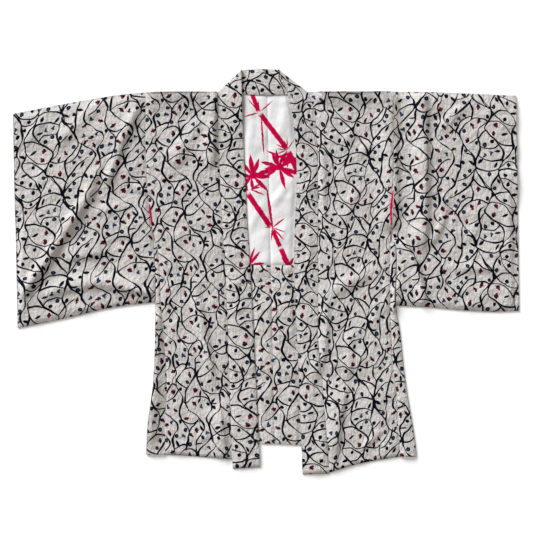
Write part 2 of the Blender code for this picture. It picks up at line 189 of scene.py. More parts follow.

# ---------------------------------------------------------------- creases and painted edge shade, in mm

# Soft ridges of the upper layer, through three points.  left and right are how far each flank
# runs out, seen from start to end; fade is the share of each tip that dies away.
Fold = namedtuple("Fold", "start middle end height left right fade")
FOLDS = (
    # left sleeve: long rolls from the mouth's lower corner to the shoulder, on a broad rise
    Fold((-600, -40), (-490, 150), (-330, 400), 5.0, 170, 40, 0.10),
    Fold((-626, -84), (-505, 92), (-424, 226), 12.5, 31, 19, 0.12),
    Fold((-452, 160), (-432, 226), (-400, 284), 6.0, 28, 17, 0.30),
    Fold((-400, 205), (-366, 305), (-312, 432), 9.5, 28, 18, 0.20),
    # and the sags below them
    Fold((-515, 30), (-455, 42), (-380, 54), 7.0, 60, 18, 0.30),
    Fold((-575, -66), (-425, -28), (-280, -60), 8.5, 34, 24, 0.20),
    Fold((-380, -38), (-325, -46), (-272, -54), 8.0, 22, 16, 0.25),
    Fold((-440, 140), (-400, 156), (-352, 158), 3.5, 18, 20, 0.35),
    Fold((-342, 212), (-312, 204), (-288, 190), 4.5, 18, 12, 0.35),
    Fold((-540, 290), (-474, 364), (-396, 424), 7.0, 32, 30, 0.30),
    Fold((-612, 300), (-578, 350), (-548, 392), 4.5, 22, 22, 0.35),
    Fold((-600, 170), (-560, 240), (-520, 300), 4.5, 28, 24, 0.40),
    Fold((-480, 250), (-446, 300), (-425, 350), 2.5, 18, 20, 0.40),
    Fold((-400, 80), (-362, 92), (-320, 78), 2.5, 18, 18, 0.40),
    # right sleeve: the tall roll beside the armhole, and the bend below it
    Fold((388, 20), (395, 235), (385, 560), 13.5, 44, 19, 0.24),
    Fold((394, -100), (374, 8), (328, 90), 12.5, 22, 16, 0.18),
    Fold((318, -108), (320, -66), (322, -10), 7.5, 12, 28, 0.25),
    Fold((388, 52), (430, 104), (450, 184), 5.5, 18, 14, 0.25),
    Fold((424, 350), (456, 380), (506, 428), 5.0, 20, 26, 0.30),
    Fold((446, 150), (450, 195), (446, 240), 2.5, 16, 14, 0.35),
    Fold((430, 14), (520, 8), (618, 14), 3.5, 22, 16, 0.25),
    Fold((604, 30), (606, 150), (603, 270), 2.5, 18, 9, 0.30),
    Fold((500, 70), (515, 100), (522, 140), 2.5, 22, 20, 0.40),
    # left front
    Fold((-136, 250), (-131, 360), (-128, 500), 9.0, 38, 12, 0.16),
    Fold((-262, 218), (-206, 318), (-150, 388), 5.0, 34, 32, 0.30),
    Fold((-172, 262), (-158, 285), (-140, 300), 2.5, 14, 14, 0.40),
    Fold((-126, -290), (-152, -165), (-180, -8), 6.5, 28, 15, 0.22),
    Fold((-102, -490), (-110, -405), (-124, -316), 8.5, 40, 14, 0.28),
    Fold((-297, -450), (-286, -250), (-280, -90), 11.0, 14, 34, 0.12),
    Fold((-180, -420), (-150, -408), (-128, -398), 2.5, 20, 16, 0.40),
    Fold((-250, -20), (-225, 60), (-215, 130), 2.0, 24, 24, 0.40),
    # right front
    Fold((150, -52), (204, -30), (282, 12), 6.0, 34, 30, 0.35),
    Fold((168, -510), (180, -385), (202, -270), 8.5, 64, 14, 0.34),
    Fold((196, -288), (208, -210), (200, -140), 4.0, 22, 18, 0.30),
    Fold((118, -290), (147, -165), (146, -48), 5.5, 26, 15, 0.20),
    Fold((228, -446), (262, -420), (290, -384), 4.0, 16, 14, 0.30),
    Fold((268, -175), (272, -110), (276, -45), 2.5, 20, 18, 0.35),
    Fold((146, 120), (141, 230), (137, 345), 4.0, 12, 16, 0.25),
    Fold((196, 118), (212, 168), (234, 218), 4.0, 22, 15, 0.30),
    Fold((188, 296), (205, 340), (224, 368), 3.0, 16, 16, 0.35),
    Fold((224, 284), (243, 306), (264, 328), 3.0, 16, 16, 0.35),
    Fold((300, -115), (303, -45), (300, 25), 3.5, 20, 20, 0.30),
    Fold((316, 95), (315, 250), (310, 500), 11.0, 52, 24, 0.13),
    # lining
    Fold((-40, 300), (-36, 370), (-40, 436), 1.6, 14, 12, 0.35),
    Fold((22, 316), (40, 372), (44, 436), 2.2, 16, 20, 0.30),
    Fold((8, 156), (34, 192), (66, 236), 2.8, 18, 16, 0.30),
    Fold((-42, 92), (-26, 140), (-2, 176), 2.0, 14, 16, 0.35),
    Fold((26, 40), (36, 90), (62, 140), 1.8, 16, 14, 0.40),
    # bands, and the part behind the neck
    Fold((48, 440), (60, 400), (73, 346), 4.0, 30, 12, 0.25),
    Fold((-100, -98), (-68, -92), (-38, -74), 4.0, 18, 14, 0.30),
    Fold((-108, -36), (-75, -28), (-42, -8), 3.0, 16, 12, 0.30),
    Fold((84, 236), (106, 210), (124, 262), 3.0, 16, 14, 0.35),
    Fold((96, 120), (108, 60), (100, 0), 2.5, 14, 16, 0.35),
)
FOLD_STEPS = 14
FOLD_MARGIN = 30            # a fold bends this far past its own three points at most
SHOULDER_ROLLS = ((-305, -135), (120, 312))     # the shoulder fold stands up between these x,
SHOULDER_ROLL_RISE = 13.0                       # this far,
SHOULDER_ROLL_RUN = 56                          # over this much of the cloth below it,
SHOULDER_ROLL_TIP = 25                          # and dies away over this much at its ends

Crumple = namedtuple("Crumple", "wavelength height seed")
CRUMPLES = (Crumple(80.0, 3.0, 3.0), Crumple(36.0, 2.6, 11.0), Crumple(17.0, 0.8, 29.0))
CRUMPLE_LEVEL = 0.5         # the share of its height that is there without the noise,
CRUMPLE_SWING = 0.9         # and how far the noise swings it
SHOULDER_CALM = 18          # the cloth is smooth at the shoulder fold, over this much below it
GUSSET_CALM = 6             # power that keeps it smooth close to the gusset's fold
BAND_CRUMPLE = 0.9          # how much of the crumples the band has,
BAND_BELLY = 0.6            # power that keeps them full almost to its edges,
BAND_CROWN = 1.8            # and power that lifts it late, towards its loose edge
BAND_CALM = 36              # it is smooth next to a turn, over this much
SLIT_CRUMPLE = 0.6          # how much of the crumples a slit's sliver of lining has
SEAM_DIP = 0.8              # the share of its height that cloth loses at a seam,
SEAM_RUN = 5.0              # and gets back over a few times this

TURN_SHADE = 1.0             # painted shade darkens a turned edge, half as much the line before it,
LINE_SHADE = 0.5
BAND_EDGE_SHADE = 0.6             # and the band's loose edge


def read_points(xs, ys, at):
    """Smooth curve through points, read at one coordinate."""
    xs, ys, at = np.asarray(xs, float), np.asarray(ys, float), np.asarray(at, float)
    slopes = np.gradient(ys, xs) if len(xs) > 2 else np.full(2, (ys[1] - ys[0]) / (xs[1] - xs[0]))
    at = np.clip(at, xs[0], xs[-1])
    k = np.clip(np.searchsorted(xs, at) - 1, 0, len(xs) - 2)
    span = xs[k + 1] - xs[k]
    t = (at - xs[k]) / span
    return ((1 + 2 * t) * (1 - t) ** 2 * ys[k] + t * (1 - t) ** 2 * span * slopes[k]
            + t * t * (3 - 2 * t) * ys[k + 1] + t * t * (t - 1) * span * slopes[k + 1])


def read_line(points, x):
    """Height y of a line across the garment at x."""
    ordered = sorted(points)
    return read_points([point.x for point in ordered], [point.y for point in ordered], x)


def read_side(side, name, y):
    """Place x, at the height y, of one of the named lines down the body."""
    ordered = sorted(BODY_LINES[side])
    return read_points([row.y for row in ordered], [getattr(row, name) for row in ordered], y)


def centre_x(y):
    return read_points([CENTRE_HEM.y, CENTRE_TOP.y], [CENTRE_HEM.x, CENTRE_TOP.x], y)


def back_edge_x(side, y):
    fold = read_side(side, "side", y)
    return fold - GUSSET_WRAP * (fold - read_side(side, "front", y))


def smooth(value):
    held = np.clip(value, 0.0, 1.0)
    return held * held * (3.0 - 2.0 * held)


def mix(low, high, share):
    return low + (high - low) * share


def fold_points(fold):
    """Points along a fold's curve, which passes through its middle point."""
    share = np.linspace(0.0, 1.0, FOLD_STEPS + 1)[:, None]
    start, middle, end = (np.array(point, float) for point in (fold.start, fold.middle, fold.end))
    bend = 2.0 * middle - 0.5 * (start + end)
    return (1 - share) ** 2 * start + 2 * share * (1 - share) * bend + share ** 2 * end


def one_fold(fold, x, y):
    """How far one fold raises the cloth at each place."""
    points = fold_points(fold)
    nearest = np.full_like(x, np.inf)
    offset = np.zeros_like(x)
    along = np.zeros_like(x)
    for step, (start, end) in enumerate(zip(points[:-1], points[1:])):
        run = end - start
        length = math.hypot(*run)
        share = np.clip(((x - start[0]) * run[0] + (y - start[1]) * run[1]) / length ** 2, 0, 1)
        gap_x = x - start[0] - share * run[0]
        gap_y = y - start[1] - share * run[1]
        distance = np.hypot(gap_x, gap_y)
        closer = distance < nearest
        side = np.sign(run[0] * gap_y - run[1] * gap_x)
        nearest = np.where(closer, distance, nearest)
        offset = np.where(closer, distance * side, offset)
        along = np.where(closer, (step + share) / FOLD_STEPS, along)
    reach = np.where(offset > 0, fold.left, fold.right)
    flank = np.cos(np.clip(nearest / reach, 0, 1) * math.pi / 2) ** 2
    tips = smooth(along / fold.fade) * smooth((1 - along) / fold.fade)
    return fold.height * flank * tips


def fold_lift(x, y):
    """How far the folds together raise the upper layer: they run into each other softly."""
    lift = np.zeros_like(x)
    for fold in FOLDS:
        spots = np.array([fold.start, fold.middle, fold.end])
        reach = max(fold.left, fold.right) + FOLD_MARGIN
        near = ((x > spots[:, 0].min() - reach) & (x < spots[:, 0].max() + reach)
                & (y > spots[:, 1].min() - reach) & (y < spots[:, 1].max() + reach))
        if near.any():
            lift[near] = np.sqrt(lift[near] ** 2 + one_fold(fold, x[near], y[near]) ** 2)
    return lift


def shoulder_lift(x, y):
    """The shoulder fold springs open a little, so the cloth falls away from it."""
    lift = np.zeros_like(x)
    top = read_line(SHOULDER, x)
    for low, high in SHOULDER_ROLLS:
        ends = smooth((x - low) / SHOULDER_ROLL_TIP) * smooth((high - x) / SHOULDER_ROLL_TIP)
        lift += SHOULDER_ROLL_RISE * ends * np.clip(1 - (top - y) / SHOULDER_ROLL_RUN, 0, 1) ** 2
    return lift


def crumple(x, y):
    """Soft unevenness of silk that has been folded away: never below the flat layer."""
    height = np.zeros_like(x)
    for size in CRUMPLES:
        waves = [noise.noise(Vector((px / size.wavelength, py / size.wavelength, size.seed)))
                 for px, py in zip(x.tolist(), y.tolist())]
        height += size.height * (CRUMPLE_LEVEL + CRUMPLE_SWING * np.array(waves))
    return np.maximum(height, 0.0)


def front_mid(x, y):
    return FRONT_MID + fold_lift(x, y) + shoulder_lift(x, y)


def turn_radius(x):
    """Radius of the shoulder fold at x, from the back layer to the upper one."""
    return (front_mid(x, read_line(SHOULDER, x)) - BACK_MID) / 2


def top_y(x):
    """Where the flat of each layer ends and the shoulder fold starts."""
    return read_line(SHOULDER, x) - SHELL_WALL / 2 - TURN_DEPTH * turn_radius(x)


def neck_y(x):
    """Neck edge of the back, along the band's seam."""
    left, right = BAND_TURN[LEFT][0].x, BAND_TURN[RIGHT][0].x
    share = np.clip((x - left) / (right - left), 0, 1)
    return NECK_TOP - NECK_DIP * np.sin(math.pi * share)


def side_ends(side):
    """y of the front panel's outer edge at its hem and at its top."""
    hem = float(read_line(FRONT_HEM[side], read_side(side, "front", GARMENT_HEM)))
    top = float(top_y(np.array([float(read_side(side, "side", GARMENT_TOP))]))[0])
    return hem, top


def seam_ends(side):
    """y of the front panel's band seam at its hem and at its top."""
    hem = float(read_line(FRONT_HEM[side], read_side(side, "seam", GARMENT_HEM)))
    return hem, GARMENT_TOP - SHELL_WALL / 2 - TURN_DEPTH * (FRONT_MID - BACK_MID) / 2


# ---------------------------------------------------------------- cloth as a mesh

TURN_STEPS = np.linspace(0.0, 1.0, 11)[1:-1]
FINE = 4.0                  # spacing of the grid where the cloth shows
COARSE = 9.0                # and where it lies underneath
RIM = 0.35                  # how round a thin sheet's edge is
BAND_RIM = 1.1
SHARP = math.radians(50)    # an edge sharper than this is rounded


def sheet_object(name, columns, rows, place, cut_place, edge_shade, materials, wall, cut=None, rim=RIM):
    """A sheet of cloth.  place(column, row) gives x, y and z of each crossing of its grid in mm,
    and cut_place(column, row) where that crossing was in the flat cut, for the print.
    edge_shade(column, row) says how much painted shade darkens it, up to 1, and cut(column, row) is
    true where a part is cut away.  A second material is the lining's, on the inner face."""
    mesh_maker = bmesh.new()
    bmesh.ops.create_grid(mesh_maker, x_segments=columns, y_segments=rows, size=0.5)
    if cut:
        gone = []
        for face in mesh_maker.faces:
            middle = face.calc_center_median()
            if cut((middle.x + 0.5) * columns, (middle.y + 0.5) * rows):
                gone.append(face)
        bmesh.ops.delete(mesh_maker, geom=gone, context="FACES")
    mesh = bpy.data.meshes.new(name)
    mesh_maker.to_mesh(mesh)
    mesh_maker.free()
    corners = np.empty(len(mesh.vertices) * 3)
    mesh.vertices.foreach_get("co", corners)
    corners = corners.reshape(-1, 3)
    across = np.rint((corners[:, 0] + 0.5) * columns).astype(int)
    along = np.rint((corners[:, 1] + 0.5) * rows).astype(int)
    places = np.stack(np.broadcast_arrays(*place(across, along)), axis=1) * MM
    mesh.vertices.foreach_set("co", places.ravel())
    flat = np.stack(np.broadcast_arrays(*cut_place(across, along)), axis=1) * MM
    owners = np.empty(len(mesh.loops), dtype=int)
    mesh.loops.foreach_get("vertex_index", owners)
    mesh.uv_layers.new(name="cut").data.foreach_set("uv", flat[owners].ravel())
    # painted shade: how much each crossing's colour is darkened along the turned and end edges
    shaded_edges = np.broadcast_to(edge_shade(across, along), across.shape).astype(float)
    mesh.attributes.new("edge_shade", "FLOAT", "POINT").data.foreach_set("value", shaded_edges)
    if mesh.polygons[0].normal.z < 0:
        mesh.flip_normals()
    for material in materials:
        mesh.materials.append(material)
    mesh.shade_smooth()
    cloth = bpy.data.objects.new(name, mesh)
    bpy.context.scene.collection.objects.link(cloth)
    solidify = cloth.modifiers.new("Wall", "SOLIDIFY")
    solidify.thickness = wall * MM
    solidify.offset = 0.0
    if len(materials) > 1:
        solidify.material_offset = 1
    rounding = cloth.modifiers.new("Turned edge", "BEVEL")
    rounding.width = rim * MM
    rounding.segments = 2
    rounding.limit_method = "ANGLE"
    rounding.angle_limit = SHARP
    rounding.harden_normals = True
    return cloth


def on_turn(turn, share):
    """How much painted shade darkens the rows or columns of a fold and the line before it."""
    return np.where((turn > 0) & (turn < 1), TURN_SHADE, LINE_SHADE * (share == 1))


# no painted edge shade on this piece
def unshaded(column, row):
    return 0.0 * column


def wrap_rows(front_rows, back_rows):
    """Rows of a piece that runs up the front, over the fold and down the back."""
    front = np.linspace(0.0, 1.0, front_rows + 1)
    back = np.linspace(1.0, 0.0, back_rows + 1)
    shares = np.concatenate([front, np.ones(len(TURN_STEPS)), back])
    turns = np.concatenate([np.zeros(len(front)), TURN_STEPS, np.ones(len(back))])
    return shares, turns


def lay_over_fold(x, low_y, share, turn, level):
    """y and z on a piece that turns over the shoulder: level is the upper layer's height."""
    radius = turn_radius(x)
    y = mix(low_y, top_y(x), share) + TURN_DEPTH * radius * np.sin(math.pi * turn)
    upper = np.full_like(x, BACK_MID)
    on_front = turn == 0
    upper[on_front] = level(x[on_front], y[on_front])
    folded = BACK_MID + radius * (1 + np.cos(math.pi * turn))
    return y, np.where((turn > 0) & (turn < 1), folded, upper)


def edge_dip(distance):
    """The share of its height that cloth keeps beside a seam, to which it sinks a little."""
    return 1 - SEAM_DIP * np.exp(-np.abs(distance) / SEAM_RUN)


def hem_roll(level, above_hem, low):
    """The level of cloth that rolls down to a low level at its hem."""
    return mix(low, level, smooth(above_hem / HEM_ROLL))


def down_cut(share, turn, length):
    """Distance along the cut from the shoulder fold: below it in front, beyond it at the back."""
    return np.where(turn == 1, 1 - share, share - 1) * length + turn * TURN_RUN


def declare(cloth, node, width, length):
    """Attaches a cloth piece to its body and hides the solid it stands for; its cut's width and
    length are not used.
    """
    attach(cloth, "root")
    if node:
        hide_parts(node)
    return cloth


def make_body(side, name, node, materials):
    """Front and back in one length over the shoulder, with the front cut away at the neck."""
    outer_hem, outer_top = side_ends(side)
    seam_hem, seam_top = seam_ends(side)
    back_hem = float(read_line(BACK_HEM, read_side(side, "front", GARMENT_HEM)))
    length = outer_top - outer_hem
    neck_x = BAND_TURN[side][0].x + side * NECK_CLEAR
    front_width = abs(float(read_side(side, "side", GARMENT_TOP)) - neck_x)
    neck_width = abs(neck_x - centre_x(CENTRE_TOP.y))
    front_columns = round(front_width / FINE)
    neck_columns = round(neck_width / COARSE)
    front_rows = round(length / FINE)
    shares, turns = wrap_rows(front_rows, round(length / COARSE))
    neck_start = front_rows + len(TURN_STEPS) + 1

    def level(x, y):
        seams = edge_dip(x - read_side(side, "seam", y)) * edge_dip(x - read_side(side, "front", y))
        rough = crumple(x, y) * seams * smooth((read_line(SHOULDER, x) - y) / SHOULDER_CALM)
        return hem_roll(front_mid(x, y) + rough, y - read_line(FRONT_HEM[side], x), SEWN_MID)

    def place(column, row):
        share, turn = shares[row], turns[row]
        on_back = turn == 1
        outer_y = mix(np.where(on_back, back_hem, outer_hem), outer_top, share)
        seam_y = mix(seam_hem, seam_top, share)
        outer = np.where(on_back, back_edge_x(side, outer_y), read_side(side, "front", outer_y))
        outer = outer - side * SEAM_GAP / 2
        front_inner = read_side(side, "seam", seam_y) + side * SEAM_GAP / 2
        inner = np.where(on_back & (share < 1), neck_x, front_inner)
        middle = centre_x(mix(CENTRE_HEM.y, CENTRE_TOP.y, share)) + side * SEAM_GAP / 2
        x = mix(outer, inner, np.minimum(column / front_columns, 1.0))
        x = mix(x, middle, np.maximum(column - front_columns, 0) / neck_columns)
        hem = np.where(on_back, read_line(BACK_HEM, x), read_line(FRONT_HEM[side], x))
        y, z = lay_over_fold(x, hem, share, turn, level)
        neck = on_back & (column > front_columns)
        return x, np.where(neck, mix(hem, neck_y(x) - 2 * SEAM_GAP, share), y), z

    def cut_place(column, row):
        across = np.minimum(column / front_columns, 1.0) * front_width
        across = across + np.maximum(column - front_columns, 0) / neck_columns * neck_width
        along = down_cut(shares[row], turns[row], length)
        return BODY_START.x - side * across, BODY_START.y + along

    # painted shade along the fold, the hem and the back's end
    def edge_shade(column, row):
        return np.maximum(on_turn(turns[row], shares[row]), (row == 0) | (row == len(shares) - 1))

    def cut(column, row):
        return column > front_columns and row < neck_start

    cloth = sheet_object(name, front_columns + neck_columns, len(shares) - 1, place, cut_place,
                         edge_shade, materials, SHELL_WALL, cut)
    width, whole = front_width + neck_width, 2 * length + TURN_RUN
    return declare(cloth, node, width, whole)


def make_gusset(side, name, node, materials):
    """Narrow wedge at the side, folded along its length at the jacket's edge."""
    hem = side_ends(side)[0]
    back_hem = float(read_line(BACK_HEM, back_edge_x(side, GARMENT_HEM)))
    front_steps = np.linspace(0.0, 1.0, GUSSET_COLUMNS)
    steps = np.concatenate([front_steps, np.ones(len(TURN_STEPS)), [1.0, 0.5, 0.0]])
    turns = np.concatenate([np.zeros(len(front_steps)), TURN_STEPS, np.ones(3)])
    rows = round((GUSSET_TOP - hem) / FINE)

    def place(column, row):
        step, turn, share = steps[column], turns[column], row / rows
        y = mix(mix(hem, back_hem, (turn == 1) * (1 - step)), GUSSET_TOP, share)
        seam = np.where(turn == 1, back_edge_x(side, y), read_side(side, "front", y))
        seam = seam + side * SEAM_GAP / 2
        edge = read_side(side, "side", y) - side * (SEAM_GAP + SHELL_WALL) / 2
        lift = fold_lift(edge - side * FRONT_MID / 2, y)
        radius = (FRONT_MID + lift - BACK_MID) / 2
        depth = side * TURN_DEPTH * radius
        x = mix(seam, edge - depth, step) + depth * np.sin(math.pi * turn)
        flat = FRONT_MID + np.where(turn == 0, fold_lift(x, y), lift)
        rough = crumple(x, y) * edge_dip(x - seam) * (1 - step ** GUSSET_CALM)
        z = np.where(turn == 0, flat + rough, BACK_MID + radius * (1 + np.cos(math.pi * turn)))
        return x, y, z

    def cut_place(column, row):
        y = mix(hem, GUSSET_TOP, row / rows)
        wide = np.abs(read_side(side, "side", y) - read_side(side, "front", y))
        around = np.where(turns[column] == 1, 2 - steps[column], steps[column]) * wide
        return GUSSET_START.x + side * (around + turns[column] * TURN_RUN), GUSSET_START.y + y

    # painted shade along the gusset's fold and its hem
    def edge_shade(column, row):
        return np.maximum(on_turn(turns[column], steps[column]), row == 0)

    cloth = sheet_object(name, len(steps) - 1, rows, place, cut_place, edge_shade, materials, SHELL_WALL)
    at_hem = abs(float(read_side(side, "side", hem) - read_side(side, "front", hem)))
    at_top = abs(float(read_side(side, "side", GUSSET_TOP) - read_side(side, "front", GUSSET_TOP)))
    wide, length = 1 + GUSSET_WRAP, GUSSET_TOP - hem
    return declare(cloth, node, at_hem * wide + TURN_RUN, length)


def make_sleeve(side, name, node, materials, print_turn):
    """One length of cloth folded at the shoulder, sewn along its bottom and its lower mouth."""
    inner_top = side_ends(side)[1]
    inner_hem = float(read_line(SLEEVE_HEM[side], read_side(side, "side", ARMPIT)))
    mouth_low, mouth_high = SLEEVE_MOUTH[side]
    length = inner_top - inner_hem
    width = abs(mix(mouth_low, mouth_high, 0.5) - float(read_side(side, "side", SLEEVE_MID)))
    columns = round(width / FINE)
    shares, turns = wrap_rows(round(length / FINE), round(length / COARSE))

    def level(x, y):
        above_hem = y - read_line(SLEEVE_HEM[side], x)
        from_top = read_line(SHOULDER, x) - y
        from_mouth = np.abs(mix(mouth_low, mouth_high, 0.5) - x)
        closed = 1 - smooth((from_mouth - MOUTH_SEAM) / MOUTH_ROLL)
        closed = closed * smooth((from_top - WRIST_OPENING) / WRIST_RUN)
        sewn = np.maximum(1 - smooth(above_hem / SLEEVE_ROLL), closed)
        rough = crumple(x, y) * edge_dip(x - read_side(side, "side", y))
        return mix(front_mid(x, y) + rough * smooth(from_top / SHOULDER_CALM), SEWN_MID, sewn)

    def place(column, row):
        share, turn = shares[row], turns[row]
        inner_y = mix(inner_hem, inner_top, share)
        inner = read_side(side, "side", inner_y) + side * SEAM_GAP / 2
        x = mix(inner, mix(mouth_low, mouth_high, share), column / columns)
        y, z = lay_over_fold(x, read_line(SLEEVE_HEM[side], x), share, turn, level)
        return x, y, z

    def cut_place(column, row):
        return (SLEEVE_START.x + side * column / columns * width * print_turn,
                SLEEVE_START.y + down_cut(shares[row], turns[row], length) * print_turn)

    # painted shade along the fold, the mouth and the hem
    def edge_shade(column, row):
        return np.maximum(on_turn(turns[row], shares[row]), (column == columns) | (row == 0))

    cloth = sheet_object(name, columns, len(shares) - 1, place, cut_place, edge_shade, materials,
                         SHELL_WALL)
    whole = 2 * length + TURN_RUN
    return declare(cloth, node, width, whole)


def make_inside(side, name, node, low_y, high_y, material):
    """Half of the lining or of the facing, flat on the back and tucked under the band."""
    lines = np.linspace(low_y, high_y, LINING_LINES)
    widths = np.abs(read_side(side, "free", lines) + side * TUCK - centre_x(lines))
    width, length = float(widths.max()), high_y - low_y
    columns, rows = round(width / FINE), round(length / FINE)

    def across_at(column, line_y):
        outer = read_side(side, "free", line_y) + side * TUCK
        return mix(outer, centre_x(line_y) + side * SEAM_GAP / 2, column / columns)

    def place(column, row):
        share = row / rows
        line_y = mix(low_y, high_y, share)
        x = across_at(column, line_y)
        low = np.where(low_y < CENTRE_HEM.y, read_line(BACK_HEM, x) + SEAM_GAP, low_y)
        high = np.where(high_y > LINING_EDGE, neck_y(x) - 2 * SEAM_GAP, high_y)
        y = mix(low, high, share)
        showing = smooth(side * (read_side(side, "free", y) - x) / LINING_CALM)
        ends = edge_dip(y - low) * edge_dip(y - high) * edge_dip(x - centre_x(line_y))
        return x, y, LINING_MID + (crumple(x, y) + fold_lift(x, y)) * showing * ends

    def cut_place(column, row):
        line_y = mix(low_y, high_y, row / rows)
        return across_at(column, line_y), line_y

    cloth = sheet_object(name, columns, rows, place, cut_place, unshaded, [material], LINING_WALL)
    return declare(cloth, node, width, length)


BandRow = namedtuple("BandRow", "seam_x seam_y seam_z free_x free_y free_z")


def band_strip(side):
    """Rows of the band up one front, where its loose edge stands up towards the neck."""
    turn_seam, turn_free = BAND_TURN[side]
    end_seam, end_free = BAND_END[side]
    rows = []
    count = round((turn_seam.y - end_seam) / FINE)
    for seam_y in np.linspace(end_seam, turn_seam.y - FINE, count):
        slant = float(smooth((seam_y - BAND_SLANT_START) / (turn_seam.y - BAND_SLANT_START)))
        to_end = float(smooth((end_seam + BAND_END_RUN - seam_y) / BAND_END_RUN))
        free_y = seam_y + (turn_free.y - turn_seam.y) * slant + (end_free - end_seam) * to_end
        height = mix(BAND_MID, BAND_TURN_MID, slant)
        near_turn = float(smooth((slant - WING_SHARE) / (1 - WING_SHARE)))
        rise = slant * mix(WING_RISE, TURN_RISE, near_turn)
        rows.append(BandRow(float(read_side(side, "seam", seam_y)) - side * SEAM_GAP / 2, seam_y,
                            height, float(read_side(side, "free", free_y)), free_y, height + rise))
    return rows


def band_turn(side):
    """Rows round the slanting turn-over on one shoulder, from the upper layer down."""
    edges = BAND_TURN[side]
    length = math.hypot(edges[1].x - edges[0].x, edges[1].y - edges[0].y)
    out_x = side * (edges[1].y - edges[0].y) / length
    out_y = side * (edges[0].x - edges[1].x) / length
    rows = []
    for step in range(BAND_TURN_ROWS + 1):
        turn = step / BAND_TURN_ROWS
        row = []
        for edge, height in zip(edges, (BAND_TURN_MID, BAND_TURN_MID + TURN_RISE)):
            radius = (height - BAND_WALL / 2) / 2
            shift = TURN_DEPTH * radius * (math.sin(math.pi * turn) - 1) - BAND_WALL / 2
            row += [edge.x + out_x * shift, edge.y + out_y * shift,
                    BAND_WALL / 2 + radius * (1 + math.cos(math.pi * turn))]
        rows.append(BandRow(*row))
    return rows


def run_along(edge):
    """Distance along an edge to each of its points."""
    return np.concatenate([[0.0], np.cumsum(np.linalg.norm(np.diff(edge, axis=0), axis=1))])


def rows_from_ends(count):
    """How many rows each row is from the nearer end."""
    return np.minimum(np.arange(count), np.arange(count)[::-1])


def make_band(name, node, material):
    """Collar band: up one front, turned over on each shoulder, and down the other front."""
    left_turn, right_turn = band_turn(LEFT), band_turn(RIGHT)
    low_left, low_right = left_turn[-1], right_turn[-1]
    neck = []
    for step in range(1, NECK_ROWS):
        share = step / NECK_ROWS
        seam_x = mix(low_left.seam_x, low_right.seam_x, share)
        seam_rise, free_rise = (float(read_points(NECK_SHARES, rise, share))
                                for rise in (NECK_SEAM_RISE, NECK_FREE_RISE))
        up = float(smooth(min(share, 1 - share) * NECK_RAMP))
        neck.append(BandRow(seam_x, float(neck_y(seam_x)), BAND_WALL / 2 + seam_rise,
                            mix(low_left.free_x, low_right.free_x, share),
                            mix(low_left.free_y, BAND_TURN[LEFT][1].y, up),
                            BAND_WALL / 2 + free_rise))
    left_strip, right_strip = band_strip(LEFT), band_strip(RIGHT)
    table = np.array(left_strip + left_turn + neck + right_turn[::-1] + right_strip[::-1])
    seam_run, free_run = run_along(table[:, 0:3]), run_along(table[:, 3:6])
    from_turn = np.concatenate([np.arange(len(left_strip))[::-1], np.zeros(len(left_turn)),
                                rows_from_ends(len(neck)), np.zeros(len(right_turn)),
                                np.arange(len(right_strip))])
    loose = smooth(from_turn * FINE / BAND_CALM)
    from_end = rows_from_ends(len(table)) * FINE

    def place(column, row):
        seam_x, seam_y, seam_z, free_x, free_y, free_z = table[row].T
        share = column / BAND_COLUMNS
        x, y = mix(seam_x, free_x, share), mix(seam_y, free_y, share)
        belly = np.sin(math.pi * share) ** BAND_BELLY
        rough = (crumple(x, y) * BAND_CRUMPLE + fold_lift(x, y)) * belly * loose[row]
        level = mix(seam_z, free_z, share ** BAND_CROWN) + rough
        return x, y, hem_roll(level, from_end[row], BAND_END_MID)

    def cut_place(column, row):
        share = column / BAND_COLUMNS
        along = mix(seam_run[row], free_run[row], share)
        return BAND_START.x + share * BAND_WIDTH, BAND_START.y + along

    # painted shade along the band's loose edge and its ends
    def edge_shade(column, row):
        return np.maximum(BAND_EDGE_SHADE * (column == BAND_COLUMNS), from_end[row] == 0)

    cloth = sheet_object(name, BAND_COLUMNS, len(table) - 1, place, cut_place, edge_shade, [material],
                         BAND_WALL, rim=BAND_RIM)
    length = float(seam_run[-1] + free_run[-1]) / 2
    return declare(cloth, node, BAND_WIDTH, length)


def make_slit_edge(side, name, material):
    """The lining rolls out a little at the open slit between the sleeve and the body's side."""
    slit = SLITS[side]
    length = slit.high - slit.low
    rows = round(length / SLIT_ROW)
    girth = (1 + 2 * SLIT_CURL) * math.pi * (slit.wide / 2 + SLIT_RISE) / 2

    def place(column, row):
        share = row / rows
        y = mix(slit.low, slit.high, share)
        angle = math.pi * mix(1 + SLIT_CURL, -SLIT_CURL, column / SLIT_COLUMNS)
        slender = mix(SLIT_TIP, 1.0, np.sin(math.pi * share) ** SLIT_TAPER)
        x = read_side(side, "side", y) + side * slit.out + slit.wide / 2 * np.cos(angle) * slender
        level = FRONT_MID + fold_lift(x, y) + crumple(x, y) * SLIT_CRUMPLE
        return x, y, level + SLIT_CLEAR + (SLIT_EDGE + SLIT_RISE * np.sin(angle)) * slender

    def cut_place(column, row):
        """It is cut along one of the bamboo's culms, so that it shows crimson along its length."""
        culm = BAMBOO_CULMS[1]
        step = Vector((culm.x1 - culm.x0, culm.y1 - culm.y0)).normalized()
        along = row / rows * length + CULM_START
        over = (column / SLIT_COLUMNS - 0.5) * girth + (side == RIGHT) * CULM_SHIFT
        return (culm.x0 + step.x * along - step.y * over,
                culm.y0 + step.y * along + step.x * over)

    cloth = sheet_object(name, SLIT_COLUMNS, rows, place, cut_place, unshaded, [material], SLIT_WALL,
                         rim=SLIT_RIM)
    return declare(cloth, None, max(girth, SLIT_CUT), length)


# ---------------------------------------------------------------- the printed vine, in mm

